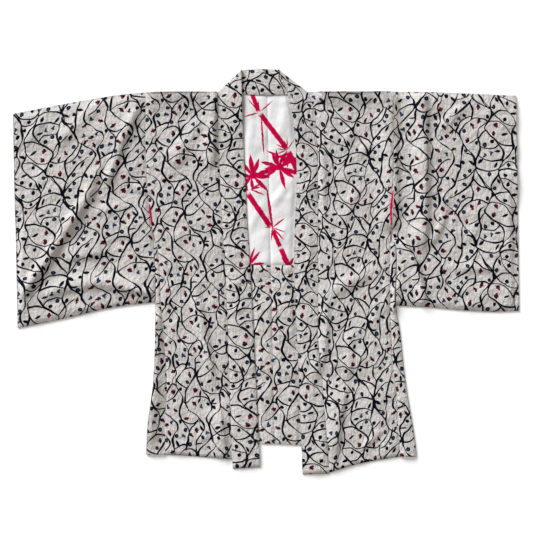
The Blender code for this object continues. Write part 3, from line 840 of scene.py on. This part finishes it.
TILE_WIDE = 360.0           # one bolt's width
TILE_LONG = 200.0           # the print repeats after this length
PRINT_SEED = 11
STEM_COUNT = 11
STEM_STEPS = 20             # points up each stem
STEM_SWAY = (24.0, 10.0, 4.5)   # it sways one, two and three times in a repeat by up to this
STEM_SWAY_LEAST = 0.6       # and by at least this share of it
STEM_KINK = 1.6
STEM_CLEAR = 1.0            # stems nearer than this run on as one, and part by this much
STEM_ROUNDS = 40            # times that neighbours are parted
STEM_HALF = 2.1             # half a stem's thickness, which swells and thins along it

BRANCH_ROOM = 15.0          # branches cross where two stems are further apart than this
BRANCH_GAP = 34.0           # and keep about this far apart up the same pair of stems
BRANCH_GAP_SHARES = (0.6, 1.4)
BRANCH_EDGE = 6.0           # they end this far inside the repeat
BRANCH_CLIMB = 42           # and climb or drop up to this much
BRANCH_BOW = (0.05, 0.30)   # the share of their width by which they hang or arch,
BOW_POWER = 2.2             # as a flat-topped curve of this power
BRANCH_SHARES = np.array([0.0, 0.1, 0.3, 0.55, 0.8, 0.93, 1.0])     # places along a branch
BRANCH_HALVES = ((2.4, 1.1), (1.1, 2.4), (1.35, 1.2), (2.0, 1.0), (1.0, 2.0))   # at its two ends
LEAN_MOST = 2.2             # a branch is drawn up to this much thicker where it is steep
LOOSE_SHARE = 0.18          # the share of branches that stop short of the next stem,
LOOSE_ROOM = 22             # where they are longer than this
LOOSE_POINTS = 3            # and without these last points
BRANCH_FADE = 3             # a branch's thickness runs out over this much past its ends
BEYOND = 1.0                # its measure there, so that nothing is drawn

# Every leaf, bud and twig is a blade: the overlap of two circles of the radius that its kind has.
Blade = namedtuple("Blade", "x y angle wide")
Branch = namedtuple("Branch", "path thickness")
LEAF_ROUND = 13.0
BUD_ROUND = 6.8
TWIG_ROUND = 14.0
BERRY_RADII = (4.7, 5.1)
LOBE_RADIUS = 2.7

TWIG_GAP = 7.0              # a berry further from its stem than this has a twig to it
BUD_SWING = 1.6             # in radians, how far a bud may be turned from the stem's side
BudLobe = namedtuple("BudLobe", "turn distance")
BUD_LOBES = (BudLobe(0.0, 3.6), BudLobe(1.9, 2.8), BudLobe(-1.7, 2.8))  # some lack the third
BudShell = namedtuple("BudShell", "distance swing middle wide")
BUD_SHELL = BudShell(-3.4, 2.4, 0.4, 3.2)
LEAF_SWING = 1.2            # and a leaf, which past this chance is turned as much again
LEAF_CHANCE = 0.6
LEAF_HALF = (3.0, 0.8)      # half a leaf's width at least, and by how much more at most
SprigLeaf = namedtuple("SprigLeaf", "distance turn wide")
SPRIG_LEAVES = (SprigLeaf(2.0, 1.3, 2.7), SprigLeaf(-1.8, -0.3, 2.8))

STEM_SPOTS = 81             # places along a stem and along a branch, from which motifs keep clear
BRANCH_SPOTS = 31
SCATTER_TRIES = 9000
MOTIF_EDGE = 5.0            # motifs stay this far inside the repeat, so none is cut by its edge
Kind = namedtuple("Kind", "name count nearest furthest apart")
MOTIFS = (                  # how many of each, how near to a stem, and how far from each other
    Kind("berry", 39, 6.0, 9.5, 18.0),
    Kind("bud", 21, 7.5, 40.0, 18.5),
    Kind("leaf", 20, 6.0, 20.0, 15.5),
    Kind("sprig", 14, 6.5, 40.0, 15.5),
)


def draw_stems(draw):
    """Lines of (y, x) up the repeat.  Each sways by itself, and where it would cross its
    neighbour the two run on as one for a while."""
    turn = 2 * math.pi / STEM_STEPS * np.arange(STEM_STEPS)
    places = []
    for stem in range(STEM_COUNT):
        sway = sum(size * draw.uniform(STEM_SWAY_LEAST, 1.0)
                   * np.sin(count * turn + draw.uniform(0, 2 * math.pi))
                   for count, size in enumerate(STEM_SWAY, 1))
        kinks = np.array([draw.uniform(-STEM_KINK, STEM_KINK) for step in turn])
        places.append((stem + 0.5) * TILE_WIDE / STEM_COUNT + sway + kinks)
    for parting in range(STEM_ROUNDS):
        for stem in range(STEM_COUNT):
            other, lap = (stem + 1) % STEM_COUNT, TILE_WIDE * (stem + 1 == STEM_COUNT)
            meeting = (places[stem] + places[other] + lap) / 2
            crossed = places[other] + lap < places[stem] + STEM_CLEAR
            places[stem] = np.where(crossed, meeting - STEM_CLEAR / 2, places[stem])
            places[other] = np.where(crossed, meeting + STEM_CLEAR / 2 - lap, places[other])
    heights = [step * TILE_LONG / STEM_STEPS for step in range(STEM_STEPS + 1)]
    return [list(zip(heights, [*line.tolist(), float(line[0])])) for line in places]


def draw_branches(draw, stems):
    """Thin branches that hang, arch or climb from stem to stem, as a line of (x, y) and half
    the thickness on the way.  Some of them stop short of the next stem."""
    branches = []
    for left, right in zip(stems[:-1], stems[1:]):
        y0 = draw.uniform(BRANCH_EDGE, BRANCH_EDGE + BRANCH_GAP)
        while y0 < TILE_LONG - BRANCH_EDGE:
            y1 = y0 + draw.uniform(-BRANCH_CLIMB, BRANCH_CLIMB)
            y1 = min(max(y1, BRANCH_EDGE), TILE_LONG - BRANCH_EDGE)
            x0, x1 = (float(read_points(*zip(*line), y)) for line, y in ((left, y0), (right, y1)))
            if x1 - x0 > BRANCH_ROOM:
                branches.append(draw_branch(draw, x0, y0, x1, y1))
            y0 += draw.uniform(*BRANCH_GAP_SHARES) * BRANCH_GAP
    return branches


def draw_branch(draw, x0, y0, x1, y1):
    """One branch.  Twice as many hang as arch."""
    wide = x1 - x0
    bow = draw.choice((-1, -1, 1)) * draw.uniform(*BRANCH_BOW) * wide
    shape = 1 - np.abs(2 * BRANCH_SHARES - 1) ** BOW_POWER
    ys = np.clip(y0 + (y1 - y0) * BRANCH_SHARES + bow * shape, 1.0, TILE_LONG - 1.0)
    lean = np.minimum(np.hypot(1, np.gradient(ys, BRANCH_SHARES * wide)), LEAN_MOST)
    halves = mix(*draw.choice(BRANCH_HALVES), BRANCH_SHARES) * lean
    xs = x0 + wide * BRANCH_SHARES
    if draw.random() < LOOSE_SHARE and wide > LOOSE_ROOM:
        halves[-LOOSE_POINTS:] = 0.0
    thickness = [(x0 - BRANCH_FADE, 0), *zip(xs.tolist(), halves.tolist()), (x1 + BRANCH_FADE, 0)]
    return Branch(list(zip(xs.tolist(), ys.tolist())), thickness)


def line_spots(stems, branches):
    """Points all along the stems and branches, to keep the scattered motifs in step with them."""
    spots = []
    for stem in stems:
        heights = np.linspace(0, TILE_LONG, STEM_SPOTS)
        spots += list(zip(read_points(*zip(*stem), heights) % TILE_WIDE, heights))
    for branch in branches:
        reach = np.linspace(branch.path[0][0], branch.path[-1][0], BRANCH_SPOTS)
        spots += list(zip(reach, read_points(*zip(*branch.path), reach)))
    return np.array(spots)


def scatter_motifs(draw, spots):
    """Each motif's place, its direction away from the nearest line and a chance from 0 to 1:
    berries stand beside the stems, the others in the open, and none on another."""
    motifs = {}
    taken = []
    for kind in MOTIFS:
        motifs[kind.name] = []
        for attempt in range(SCATTER_TRIES):
            if len(motifs[kind.name]) == kind.count:
                break
            spot = np.array([draw.uniform(MOTIF_EDGE, TILE_WIDE - MOTIF_EDGE),
                             draw.uniform(MOTIF_EDGE, TILE_LONG - MOTIF_EDGE)])
            gaps = np.hypot(*(spots - spot).T)
            clear = all(math.hypot(*(spot - other)) > kind.apart for other in taken)
            if kind.nearest < gaps.min() < kind.furthest and clear:
                taken.append(spot)
                away = spot - spots[gaps.argmin()]
                motifs[kind.name].append((spot, math.atan2(away[1], away[0]), gaps.min(),
                                          draw.uniform(0, 1)))
    return motifs


def beside(spot, angle, distance):
    """A place some way off from a spot."""
    return spot[0] + distance * math.cos(angle), spot[1] + distance * math.sin(angle)


def chart_print():
    """One repeat of the print: its lines, and its motifs by their shape and ink."""
    draw = random.Random(PRINT_SEED)
    stems = draw_stems(draw)
    branches = draw_branches(draw, stems)
    motifs = scatter_motifs(draw, line_spots(stems, branches))
    chart = {"stems": stems, "branches": branches, "berries": [], "twigs": [], "leaves": [],
             "lobes": [], "shells": [], "sprigs": []}
    for spot, away, gap, chance in motifs["berry"]:
        chart["berries"].append(spot)
        if gap > TWIG_GAP:
            wide = TWIG_ROUND - math.sqrt(TWIG_ROUND ** 2 - (gap / 2 + 1) ** 2)
            chart["twigs"].append(Blade(*beside(spot, away, -gap / 2), away, wide))
    for spot, away, gap, chance in motifs["bud"]:
        turn = away + BUD_SWING * (chance - 0.5)
        lobes = BUD_LOBES if chance > 0.5 else BUD_LOBES[:2]
        chart["lobes"] += [beside(spot, turn + lobe.turn, lobe.distance) for lobe in lobes]
        chart["shells"].append(Blade(*beside(spot, turn, BUD_SHELL.distance),
                                     turn + BUD_SHELL.swing * (chance - BUD_SHELL.middle),
                                     BUD_SHELL.wide))
    for spot, away, gap, chance in motifs["leaf"]:
        turn = away + LEAF_SWING * (chance - 0.5 + (chance > LEAF_CHANCE))
        chart["leaves"].append(Blade(*spot, turn, LEAF_HALF[0] + LEAF_HALF[1] * draw.random()))
    for spot, away, gap, chance in motifs["sprig"]:
        chart["sprigs"] += [Blade(*beside(spot, away, leaf.distance), away + leaf.turn, leaf.wide)
                            for leaf in SPRIG_LEAVES]
    return chart


# ---------------------------------------------------------------- the lining's bamboo, in mm

# Each stroke runs from one end to the other and has half its width at the middle.
Stroke = namedtuple("Stroke", "x0 y0 x1 y1 wide")
BAMBOO_CULMS = (
    Stroke(-38, 454, -18, 401, 5.4),
    Stroke(-13, 394, 53, 306, 6.2),
    Stroke(57, 299, 80, 250, 7.0),
    Stroke(-66, 262, -48, 202, 6.4),
    Stroke(-44, 195, 12, 114, 6.6),
    Stroke(18, 105, 36, 64, 5.2),
    Stroke(38, 59, 64, 2, 6.2),
)
BAMBOO_SHOOTS = (
    Stroke(-12, 394, -4, 290, 2.4),
    Stroke(2, 214, 19, 100, 3.8),
    Stroke(-44, 236, -16, 246, 8.0),
    Stroke(20, 256, 48, 268, 8.0),
    Stroke(44, 284, 0, 304, 2.6),
    Stroke(-58, 120, -52, 92, 1.4),
)

# Leaves that fan out round a joint, from the first angle over the sweep, in degrees.
Spray = namedtuple("Spray", "x y first sweep count length wide")
BAMBOO_SPRAYS = (
    Spray(-16, 398, 40, 150, 4, 46, 2.0),
    Spray(54, 304, 55, 150, 6, 34, 1.5),
    Spray(-32, 240, -45, 180, 6, 58, 6.2),
    Spray(-36, 236, 160, 110, 4, 42, 5.0),
    Spray(34, 262, -75, 95, 4, 62, 6.0),
    Spray(32, 264, 60, 165, 6, 46, 5.4),
    Spray(60, 294, 195, 110, 4, 40, 4.4),
    Spray(-38, 206, -20, 60, 3, 38, 2.6),
    Spray(17, 112, -95, 125, 4, 44, 2.2),
    Spray(16, 114, 120, 60, 2, 22, 1.8),
    Spray(-42, 18, 8, 110, 4, 50, 4.2),
    Spray(58, 16, 60, 80, 3, 34, 3.6),
)
LEAF_JITTER = 9             # degrees by which a leaf is turned out of its even place
LEAF_SHORTEST = 0.68        # as a share of the spray's longest
LEAF_NARROWEST = 0.75       # and of its widest
LEAF_BEATS = (2.4, 1.9, 1.3)    # radians a leaf: turn, length and width don't fall in step


def fan_leaves(spray):
    """The leaves of one spray, of uneven lengths and a little unevenly turned."""
    leaves = []
    for leaf in range(spray.count):
        turn_beat, length_beat, wide_beat = (beat * leaf for beat in LEAF_BEATS)
        turn = spray.first + spray.sweep * leaf / (spray.count - 1)
        angle = math.radians(turn + LEAF_JITTER * math.sin(turn_beat))
        length = spray.length * mix(LEAF_SHORTEST, 1.0, abs(math.cos(length_beat + spray.x)))
        wide = spray.wide * mix(LEAF_NARROWEST, 1.0, abs(math.cos(wide_beat + spray.y)))
        leaves.append(Stroke(spray.x, spray.y, *beside((spray.x, spray.y), angle, length), wide))
    return leaves


# ---------------------------------------------------------------- materials

CRINKLE_WIDE = 7.0          # mm across a crinkle of the crepe, and along it
CRINKLE_LONG = 11.0
WARP_RUN = 0.06             # how drawn out the unevenness of a thread is, warp and weft
WEFT_RUN = 0.05
EDGE_SHADE_DEPTH = 0.5             # how much of the cloth's colour the painted edge shade hides

# Waves of each unevenness to a mm.
VINE_WANDER = 0.045         # the vine's lines wander in waves of 22 mm,
VINE_WANDER_WIDE = 5.0      # by up to half of this either way
STEM_SWELL = 0.035          # the stems swell and thin by 1 mm in waves of 29 mm
DYE_GRAIN = 0.35            # the dye is grainy, in grains of 3 mm,
DYE_DRIFT = 0.11            # and drifts from warm to cool, in patches of 9 mm
STENCIL_WANDER = 0.12       # the stencil's edges wander in waves of 8 mm,
STENCIL_WANDER_WIDE = 3.0   # by up to half of this either way
BRUSH_STREAK = 0.09         # and its brush left streaks of 11 mm
MOST_NOISE = (0.3, 0.7)     # the middle of a noise's range, where most of it lies,
DRIFT_NOISE = (0.35, 0.65)  # less of it, for sharper patches,
THREAD_NOISE = (0.7, 1.3)   # and the middle of both threads' noises together
MIX_SHARE, MIX_UNDER, MIX_OVER, MIX_COLOUR = 0, 6, 7, 2     # a Mix node's sockets for colours
FAR = 100.0                 # mm, where nothing is drawn yet


def srgb(code):
    """Linear colour from an sRGB hex value."""
    channels = [int(code[i:i + 2], 16) / 255 for i in (1, 3, 5)]
    return (*((c / 12.92 if c <= 0.04045 else ((c + 0.055) / 1.055) ** 2.4) for c in channels), 1.0)


def feed(tree, socket, source):
    """Links an input to a node's first output or to a socket, or sets it to a value."""
    if isinstance(source, bpy.types.Node):
        source = source.outputs[0]
    if isinstance(source, bpy.types.NodeSocket):
        tree.links.new(source, socket)
    elif source is not None:
        socket.default_value = source


def add(tree, kind, *sources, inputs=None, **settings):
    """A node with its settings, and what its first inputs and its named ones take."""
    node = tree.nodes.new(kind)
    for setting, value in settings.items():
        setattr(node, setting, value)
    for socket, source in zip(node.inputs, sources):
        feed(tree, socket, source)
    for name, source in (inputs or {}).items():
        feed(tree, node.inputs[name], source)
    return node


def new_material(name, inputs):
    """A material, its tree and its shader, with what the shader's inputs take."""
    material = bpy.data.materials.new(name)
    material.use_nodes = True
    shader = material.node_tree.nodes["Principled BSDF"]
    for socket, value in inputs.items():
        shader.inputs[socket].default_value = value
    return material, material.node_tree, shader


def fill_curve(node, points, across, up):
    """Sets a Float Curve through points, scaled to the unit square."""
    curve = node.mapping.curves[0]
    shares = [(x / across, y / up) for x, y in points]
    curve.points[0].location = shares[0]
    curve.points[1].location = shares[-1]
    for share in shares[1:-1]:
        curve.points.new(*share)
    node.mapping.update()


def off_line(tree, points, along, across, along_span, across_span):
    """How far each place is from a line, as a share of the span across, which repeats."""
    line = add(tree, "ShaderNodeFloatCurve", 1.0, along)
    fill_curve(line, points, along_span, across_span)
    off = add(tree, "ShaderNodeMath", across, line, operation="SUBTRACT")
    return add(tree, "ShaderNodeMath", off, 0.5, operation="PINGPONG")


def least(tree, measure, ink):
    """The running least of how far places are outside the shapes drawn so far."""
    return add(tree, "ShaderNodeMath", measure, ink, operation="MINIMUM")


def ink_stems(tree, stems, share_x, share_y):
    """How far outside the stems each place is, in mm."""
    ink = 1.0
    for stem in stems:
        ink = least(tree, off_line(tree, stem, share_y, share_x, TILE_LONG, TILE_WIDE), ink)
    return add(tree, "ShaderNodeMath", ink, TILE_WIDE, -STEM_HALF, operation="MULTIPLY_ADD")


def ink_branches(tree, branches, share_x, share_y):
    """How far outside the branches each place is, in mm."""
    ink = 1.0
    for branch in branches:
        off = off_line(tree, branch.path, share_x, share_y, TILE_WIDE, TILE_LONG)
        half = add(tree, "ShaderNodeFloatCurve", 1.0, share_x)
        thickness = [(x, wide + BEYOND if wide else 0.0) for x, wide in branch.thickness]
        fill_curve(half, thickness, TILE_WIDE, TILE_LONG)
        ink = least(tree, add(tree, "ShaderNodeMath", off, half, operation="SUBTRACT"), ink)
    return add(tree, "ShaderNodeMath", ink, TILE_LONG, BEYOND, operation="MULTIPLY_ADD")


def ink_blades(tree, blades, radius, point):
    """How far outside the blades each place is, in mm: a blade is where two circles overlap."""
    ink = FAR
    for blade in blades:
        shift = radius - blade.wide
        gaps = []
        for side in (-1, 1):
            middle = (blade.x - side * shift * math.sin(blade.angle),
                      blade.y + side * shift * math.cos(blade.angle), 0)
            gap = add(tree, "ShaderNodeVectorMath", point, middle, operation="DISTANCE")
            gaps.append(gap.outputs["Value"])
        ink = least(tree, add(tree, "ShaderNodeMath", *gaps, operation="MAXIMUM"), ink)
    return add(tree, "ShaderNodeMath", ink, radius, operation="SUBTRACT")


def ink_berries(tree, spots, radius, point):
    """How far outside the berries each place is, in mm."""
    ink = FAR
    for spot in spots:
        gap = add(tree, "ShaderNodeVectorMath", point, (*spot, 0), operation="DISTANCE")
        ink = least(tree, gap.outputs["Value"], ink)
    return add(tree, "ShaderNodeMath", ink, radius, operation="SUBTRACT")


def ink_strokes(tree, strokes, point, pointed):
    """How far outside the strokes each place is, as a share of their width: pointed leaves or
    culms cut off square."""
    ink = FAR
    for stroke in strokes:
        middle = ((stroke.x0 + stroke.x1) / 2, (stroke.y0 + stroke.y1) / 2, 0)
        reach = Vector((stroke.x1 - stroke.x0, stroke.y1 - stroke.y0, 0)) / 2
        along = reach / reach.length_squared
        across = Vector((-reach.y, reach.x, 0)) / reach.length / stroke.wide
        local = add(tree, "ShaderNodeVectorMath", point, middle, operation="SUBTRACT")
        off, run = (add(tree, "ShaderNodeVectorMath", local, way, operation="DOT_PRODUCT")
                    .outputs["Value"] for way in (across, along))
        off = add(tree, "ShaderNodeMath", off, operation="ABSOLUTE")
        if pointed:
            outside = add(tree, "ShaderNodeMath", run, run, off, operation="MULTIPLY_ADD")
        else:
            run = add(tree, "ShaderNodeMath", run, operation="ABSOLUTE")
            outside = add(tree, "ShaderNodeMath", run, off, operation="MAXIMUM")
        ink = least(tree, outside, ink)
    return ink


def cover(tree, ink, full, none):
    """1 where the ink's measure is at most full, 0 from none on."""
    return add(tree, "ShaderNodeMapRange", ink, full, none, 1.0, 0.0)


def paint(tree, under, over, share):
    """One colour over another."""
    layer = add(tree, "ShaderNodeMix", data_type="RGBA")
    for socket, source in ((MIX_SHARE, share), (MIX_UNDER, under), (MIX_OVER, over)):
        feed(tree, layer.inputs[socket], source)
    return layer.outputs[MIX_COLOUR]


def drawn_noise(tree, place, across, along, detail):
    """Noise drawn out to a grain across mm wide and along mm long."""
    scaled = add(tree, "ShaderNodeMapping", place, inputs={"Scale": (1 / across, 1 / along, 1)})
    return add(tree, "ShaderNodeTexNoise", scaled, noise_dimensions="2D",
               inputs={"Scale": 1.0, "Detail": detail})


def woven_silk(name, roughness, sheen, thread, depth, crinkle):
    """A plain-weave silk ground: returns its material, tree, shader, place in the cut in mm and
    threads.  The weave is two sets of uneven threads in relief, depth mm deep and drawn thread mm
    apart so that it shows, over the crinkles that run up the cloth, crinkle mm deep."""
    material, tree, shader = new_material(name, {
        "Roughness": roughness, "Sheen Weight": sheen, "Sheen Roughness": 0.45,
        "Specular IOR Level": 0.04})
    cut = add(tree, "ShaderNodeUVMap", uv_map="cut")
    place = add(tree, "ShaderNodeVectorMath", cut, (1 / MM, 1 / MM, 1 / MM), operation="MULTIPLY")
    warp = drawn_noise(tree, place, thread, thread / WARP_RUN, 2.0)
    weft = drawn_noise(tree, place, thread / WEFT_RUN, thread, 2.0)
    threads = add(tree, "ShaderNodeMath", warp, weft, operation="ADD")
    creases = drawn_noise(tree, place, CRINKLE_WIDE, CRINKLE_LONG, 3.0)
    creased = add(tree, "ShaderNodeBump", inputs={"Strength": 1.0, "Distance": crinkle * MM,
                                                  "Height": creases})
    relief = add(tree, "ShaderNodeBump", inputs={"Strength": 0.5, "Distance": depth * MM,
                                                 "Height": threads, "Normal": creased})
    feed(tree, shader.inputs["Normal"], relief)
    return material, tree, shader, place, threads


def dyed_ground(tree, place, threads):
    """The grey of the shell: warm and cool patches, grainy, with the thick threads paler."""
    slub = add(tree, "ShaderNodeMapRange", threads, *THREAD_NOISE, 0.0, 1.0)
    grain = add(tree, "ShaderNodeTexNoise", place, noise_dimensions="2D",
                inputs={"Scale": DYE_GRAIN, "Detail": 2.0})
    grain = add(tree, "ShaderNodeMapRange", grain, *MOST_NOISE, 0.0, 1.0)
    drift = add(tree, "ShaderNodeTexNoise", place, noise_dimensions="2D",
                inputs={"Scale": DYE_DRIFT})
    drift = add(tree, "ShaderNodeMapRange", drift, *DRIFT_NOISE, 0.0, 1.0)
    warm = paint(tree, srgb("#B2A59E"), srgb("#CABFB9"), grain)
    cool = paint(tree, srgb("#A4A6A8"), srgb("#BFC2C4"), grain)
    return paint(tree, paint(tree, warm, cool, drift), srgb("#D4D0CB"), slub)


def vine_print(name):
    """Dyed crepe silk: matt grey ground, a little uneven in the dye, with the vine printed in
    navy, crimson and slate blue.  The inks soak in, so they have the cloth's own gloss and soft
    edges, and painted shade darkens the turned edges a little."""
    material, tree, shader, place, threads = woven_silk(
        name, roughness=0.8, sheen=0.03, thread=0.9, depth=0.35, crinkle=3.2)
    wander = add(tree, "ShaderNodeTexNoise", place, noise_dimensions="2D",
                 inputs={"Scale": VINE_WANDER, "Detail": 0.0})
    shift = add(tree, "ShaderNodeVectorMath", wander.outputs["Color"],
                (VINE_WANDER_WIDE, VINE_WANDER_WIDE, 0), place, operation="MULTIPLY_ADD")
    tile = add(tree, "ShaderNodeVectorMath", shift, (TILE_WIDE, TILE_LONG, 1), (0, 0, 0),
               operation="WRAP")
    split = add(tree, "ShaderNodeSeparateXYZ", tile)
    share_x = add(tree, "ShaderNodeMath", split.outputs[0], TILE_WIDE, operation="DIVIDE")
    share_y = add(tree, "ShaderNodeMath", split.outputs[1], TILE_LONG, operation="DIVIDE")
    chart = chart_print()

    swell = add(tree, "ShaderNodeTexNoise", place, noise_dimensions="2D",
                inputs={"Scale": STEM_SWELL, "Detail": 0.0})
    swell = add(tree, "ShaderNodeMapRange", swell, *MOST_NOISE, -1.0, 1.0)
    stems = ink_stems(tree, chart["stems"], share_x, share_y)
    stems = add(tree, "ShaderNodeMath", stems, swell, operation="SUBTRACT")
    navy = least(tree, stems, ink_branches(tree, chart["branches"], share_x, share_y))
    for shapes, radius in (("leaves", LEAF_ROUND), ("shells", BUD_ROUND), ("twigs", TWIG_ROUND)):
        navy = least(tree, ink_blades(tree, chart[shapes], radius, tile), navy)
    small = ink_berries(tree, chart["berries"][::2], BERRY_RADII[0], tile)
    large = ink_berries(tree, chart["berries"][1::2], BERRY_RADII[1], tile)
    navy = least(tree, least(tree, small, large), navy)
    crimson = ink_berries(tree, chart["lobes"], LOBE_RADIUS, tile)
    slate = ink_blades(tree, chart["sprigs"], BUD_ROUND, tile)

    colour = dyed_ground(tree, place, threads)
    for ink, tone, full, none in (          # how far outside its shape each ink is full and ends
            (slate, "#28374E", -0.1, 0.2),
            (navy, "#050917", -0.1, 0.3),
            (large, "#2B3F5C", -3.4, -2.4),
            (crimson, "#120A14", 0.1, 0.4),
            (crimson, "#86122A", -1.2, -0.9)):
        colour = paint(tree, colour, srgb(tone), cover(tree, ink, full, none))
    # painted shade: the colour is pulled towards a dark brown-grey along the edges, by the share
    # the mesh carries
    shaded_edges = add(tree, "ShaderNodeAttribute", attribute_name="edge_shade")
    shade_share = add(tree, "ShaderNodeMath", shaded_edges.outputs["Fac"], EDGE_SHADE_DEPTH, operation="MULTIPLY")
    feed(tree, shader.inputs["Base Color"], paint(tree, colour, srgb("#3A3532"), shade_share))
    return material


def bamboo_lining(name):
    """Plain white lining silk, smoother than the shell, with bamboo stencilled in crimson: the
    stencil brush leaves the colour a little streaky along its strokes."""
    material, tree, shader, place, _ = woven_silk(
        name, roughness=0.75, sheen=0.03, thread=0.8, depth=0.2, crinkle=0.5)
    wander = add(tree, "ShaderNodeTexNoise", place, noise_dimensions="2D",
                 inputs={"Scale": STENCIL_WANDER})
    point = add(tree, "ShaderNodeVectorMath", wander.outputs["Color"],
                (STENCIL_WANDER_WIDE, STENCIL_WANDER_WIDE, 0), place, operation="MULTIPLY_ADD")
    leaves = [*BAMBOO_SHOOTS, *(leaf for spray in BAMBOO_SPRAYS for leaf in fan_leaves(spray))]
    leaves = cover(tree, ink_strokes(tree, leaves, point, True), 0.9, 1.1)
    culms = cover(tree, ink_strokes(tree, BAMBOO_CULMS, point, False), 0.92, 1.08)
    dyed = add(tree, "ShaderNodeMath", leaves, culms, operation="MAXIMUM")
    streak = add(tree, "ShaderNodeTexNoise", place, noise_dimensions="2D",
                 inputs={"Scale": BRUSH_STREAK, "Detail": 4.0})
    crimson = paint(tree, srgb("#9A0034"), srgb("#D4004C"), streak)
    feed(tree, shader.inputs["Base Color"], paint(tree, srgb("#E3E2E2"), crimson, dyed))
    return material


def lit_paper(name):
    """White paper over a light table: matt, and lit so evenly from below that shadows stay
    faint."""
    material, tree, shader = new_material(name, {
        "Roughness": 0.95, "Emission Color": (1, 1, 1, 1), "Emission Strength": 0.1})
    grain = add(tree, "ShaderNodeTexNoise", inputs={"Scale": 900.0})
    feed(tree, shader.inputs["Base Color"], paint(tree, srgb("#FAFAFA"), srgb("#FDFDFD"), grain))
    return material


# ---------------------------------------------------------------- building it

shell = vine_print("dyed_crepe_silk")
lining = bamboo_lining("stencilled_lining_silk")

WORDS = {LEFT: "left", RIGHT: "right"}
PRINT_TURNS = {LEFT: 1, RIGHT: -1}      # the right sleeve was cut the other way round
for side, word in WORDS.items():
    make_body(side, f"{word}_body_cloth", f"body_{word}", [shell, lining])
for side, word in WORDS.items():
    make_sleeve(side, f"{word}_sleeve_cloth", f"sleeve_{word}", [shell, lining], PRINT_TURNS[side])
for side, word in WORDS.items():
    make_gusset(side, f"{word}_gusset_cloth", f"gusset_{word}", [shell, lining])
make_band("collar_band_cloth", "collar_band", shell)
for side, word in WORDS.items():
    make_inside(side, f"{word}_back_lining_cloth", f"back_lining_{word}",
                LINING_EDGE + SEAM_GAP / 2, CENTRE_TOP.y, lining)
    make_inside(side, f"{word}_hem_facing_cloth", f"hem_facing_{word}", CENTRE_HEM.y - 1,
                LINING_EDGE - SEAM_GAP / 2, shell)
for side, word in WORDS.items():
    make_slit_edge(side, f"{word}_slit_lining", lining)

# ---------------------------------------------------------------- floor, lights and camera, in m

FLOOR_SIZE = 8.0
FLOOR_DROP = 0.0004         # so that the cloth doesn't touch it
SKY_STRENGTH = 0.395
KEY_FROM = Vector((-0.58, 0.82, 0.45))      # a window beyond the left shoulder, low in the room
KEY_STRENGTH = 5.15
KEY_SPREAD = math.radians(35)               # and wide, so that shadows have soft edges
FRAME_HIGH = 1.3375         # what the longer side of the picture takes in of the floor
CAMERA_AT = (0.0006, 0.0111, 3.0)
SENSOR = 36.0               # in mm
SIGHT = 20.0

bpy.ops.mesh.primitive_plane_add(size=FLOOR_SIZE, location=(0, 0, -FLOOR_DROP))
floor = bpy.context.object
floor.name = "floor"
floor.data.materials.append(lit_paper("backlit_white_paper"))

world = bpy.data.worlds.new("studio")
bpy.context.scene.world = world
world.use_nodes = True
sky = world.node_tree.nodes["Background"]
sky.inputs["Color"].default_value = srgb("#FFF9F3")
sky.inputs["Strength"].default_value = SKY_STRENGTH

key = bpy.data.lights.new("window", "SUN")
key.energy = KEY_STRENGTH
key.color = srgb("#F8FBFF")[:3]
key.angle = KEY_SPREAD
key_object = bpy.data.objects.new("window", key)
key_object.rotation_euler = KEY_FROM.to_track_quat("Z", "Y").to_euler()
bpy.context.scene.collection.objects.link(key_object)

camera = bpy.data.cameras.new("overhead")
camera.sensor_width = SENSOR
camera.lens = SENSOR * CAMERA_AT[2] / FRAME_HIGH
camera.clip_end = SIGHT
camera_object = bpy.data.objects.new("overhead", camera)
camera_object.location = CAMERA_AT
bpy.context.scene.collection.objects.link(camera_object)
bpy.context.scene.camera = camera_object
bpy.context.scene.view_settings.view_transform = "Standard"
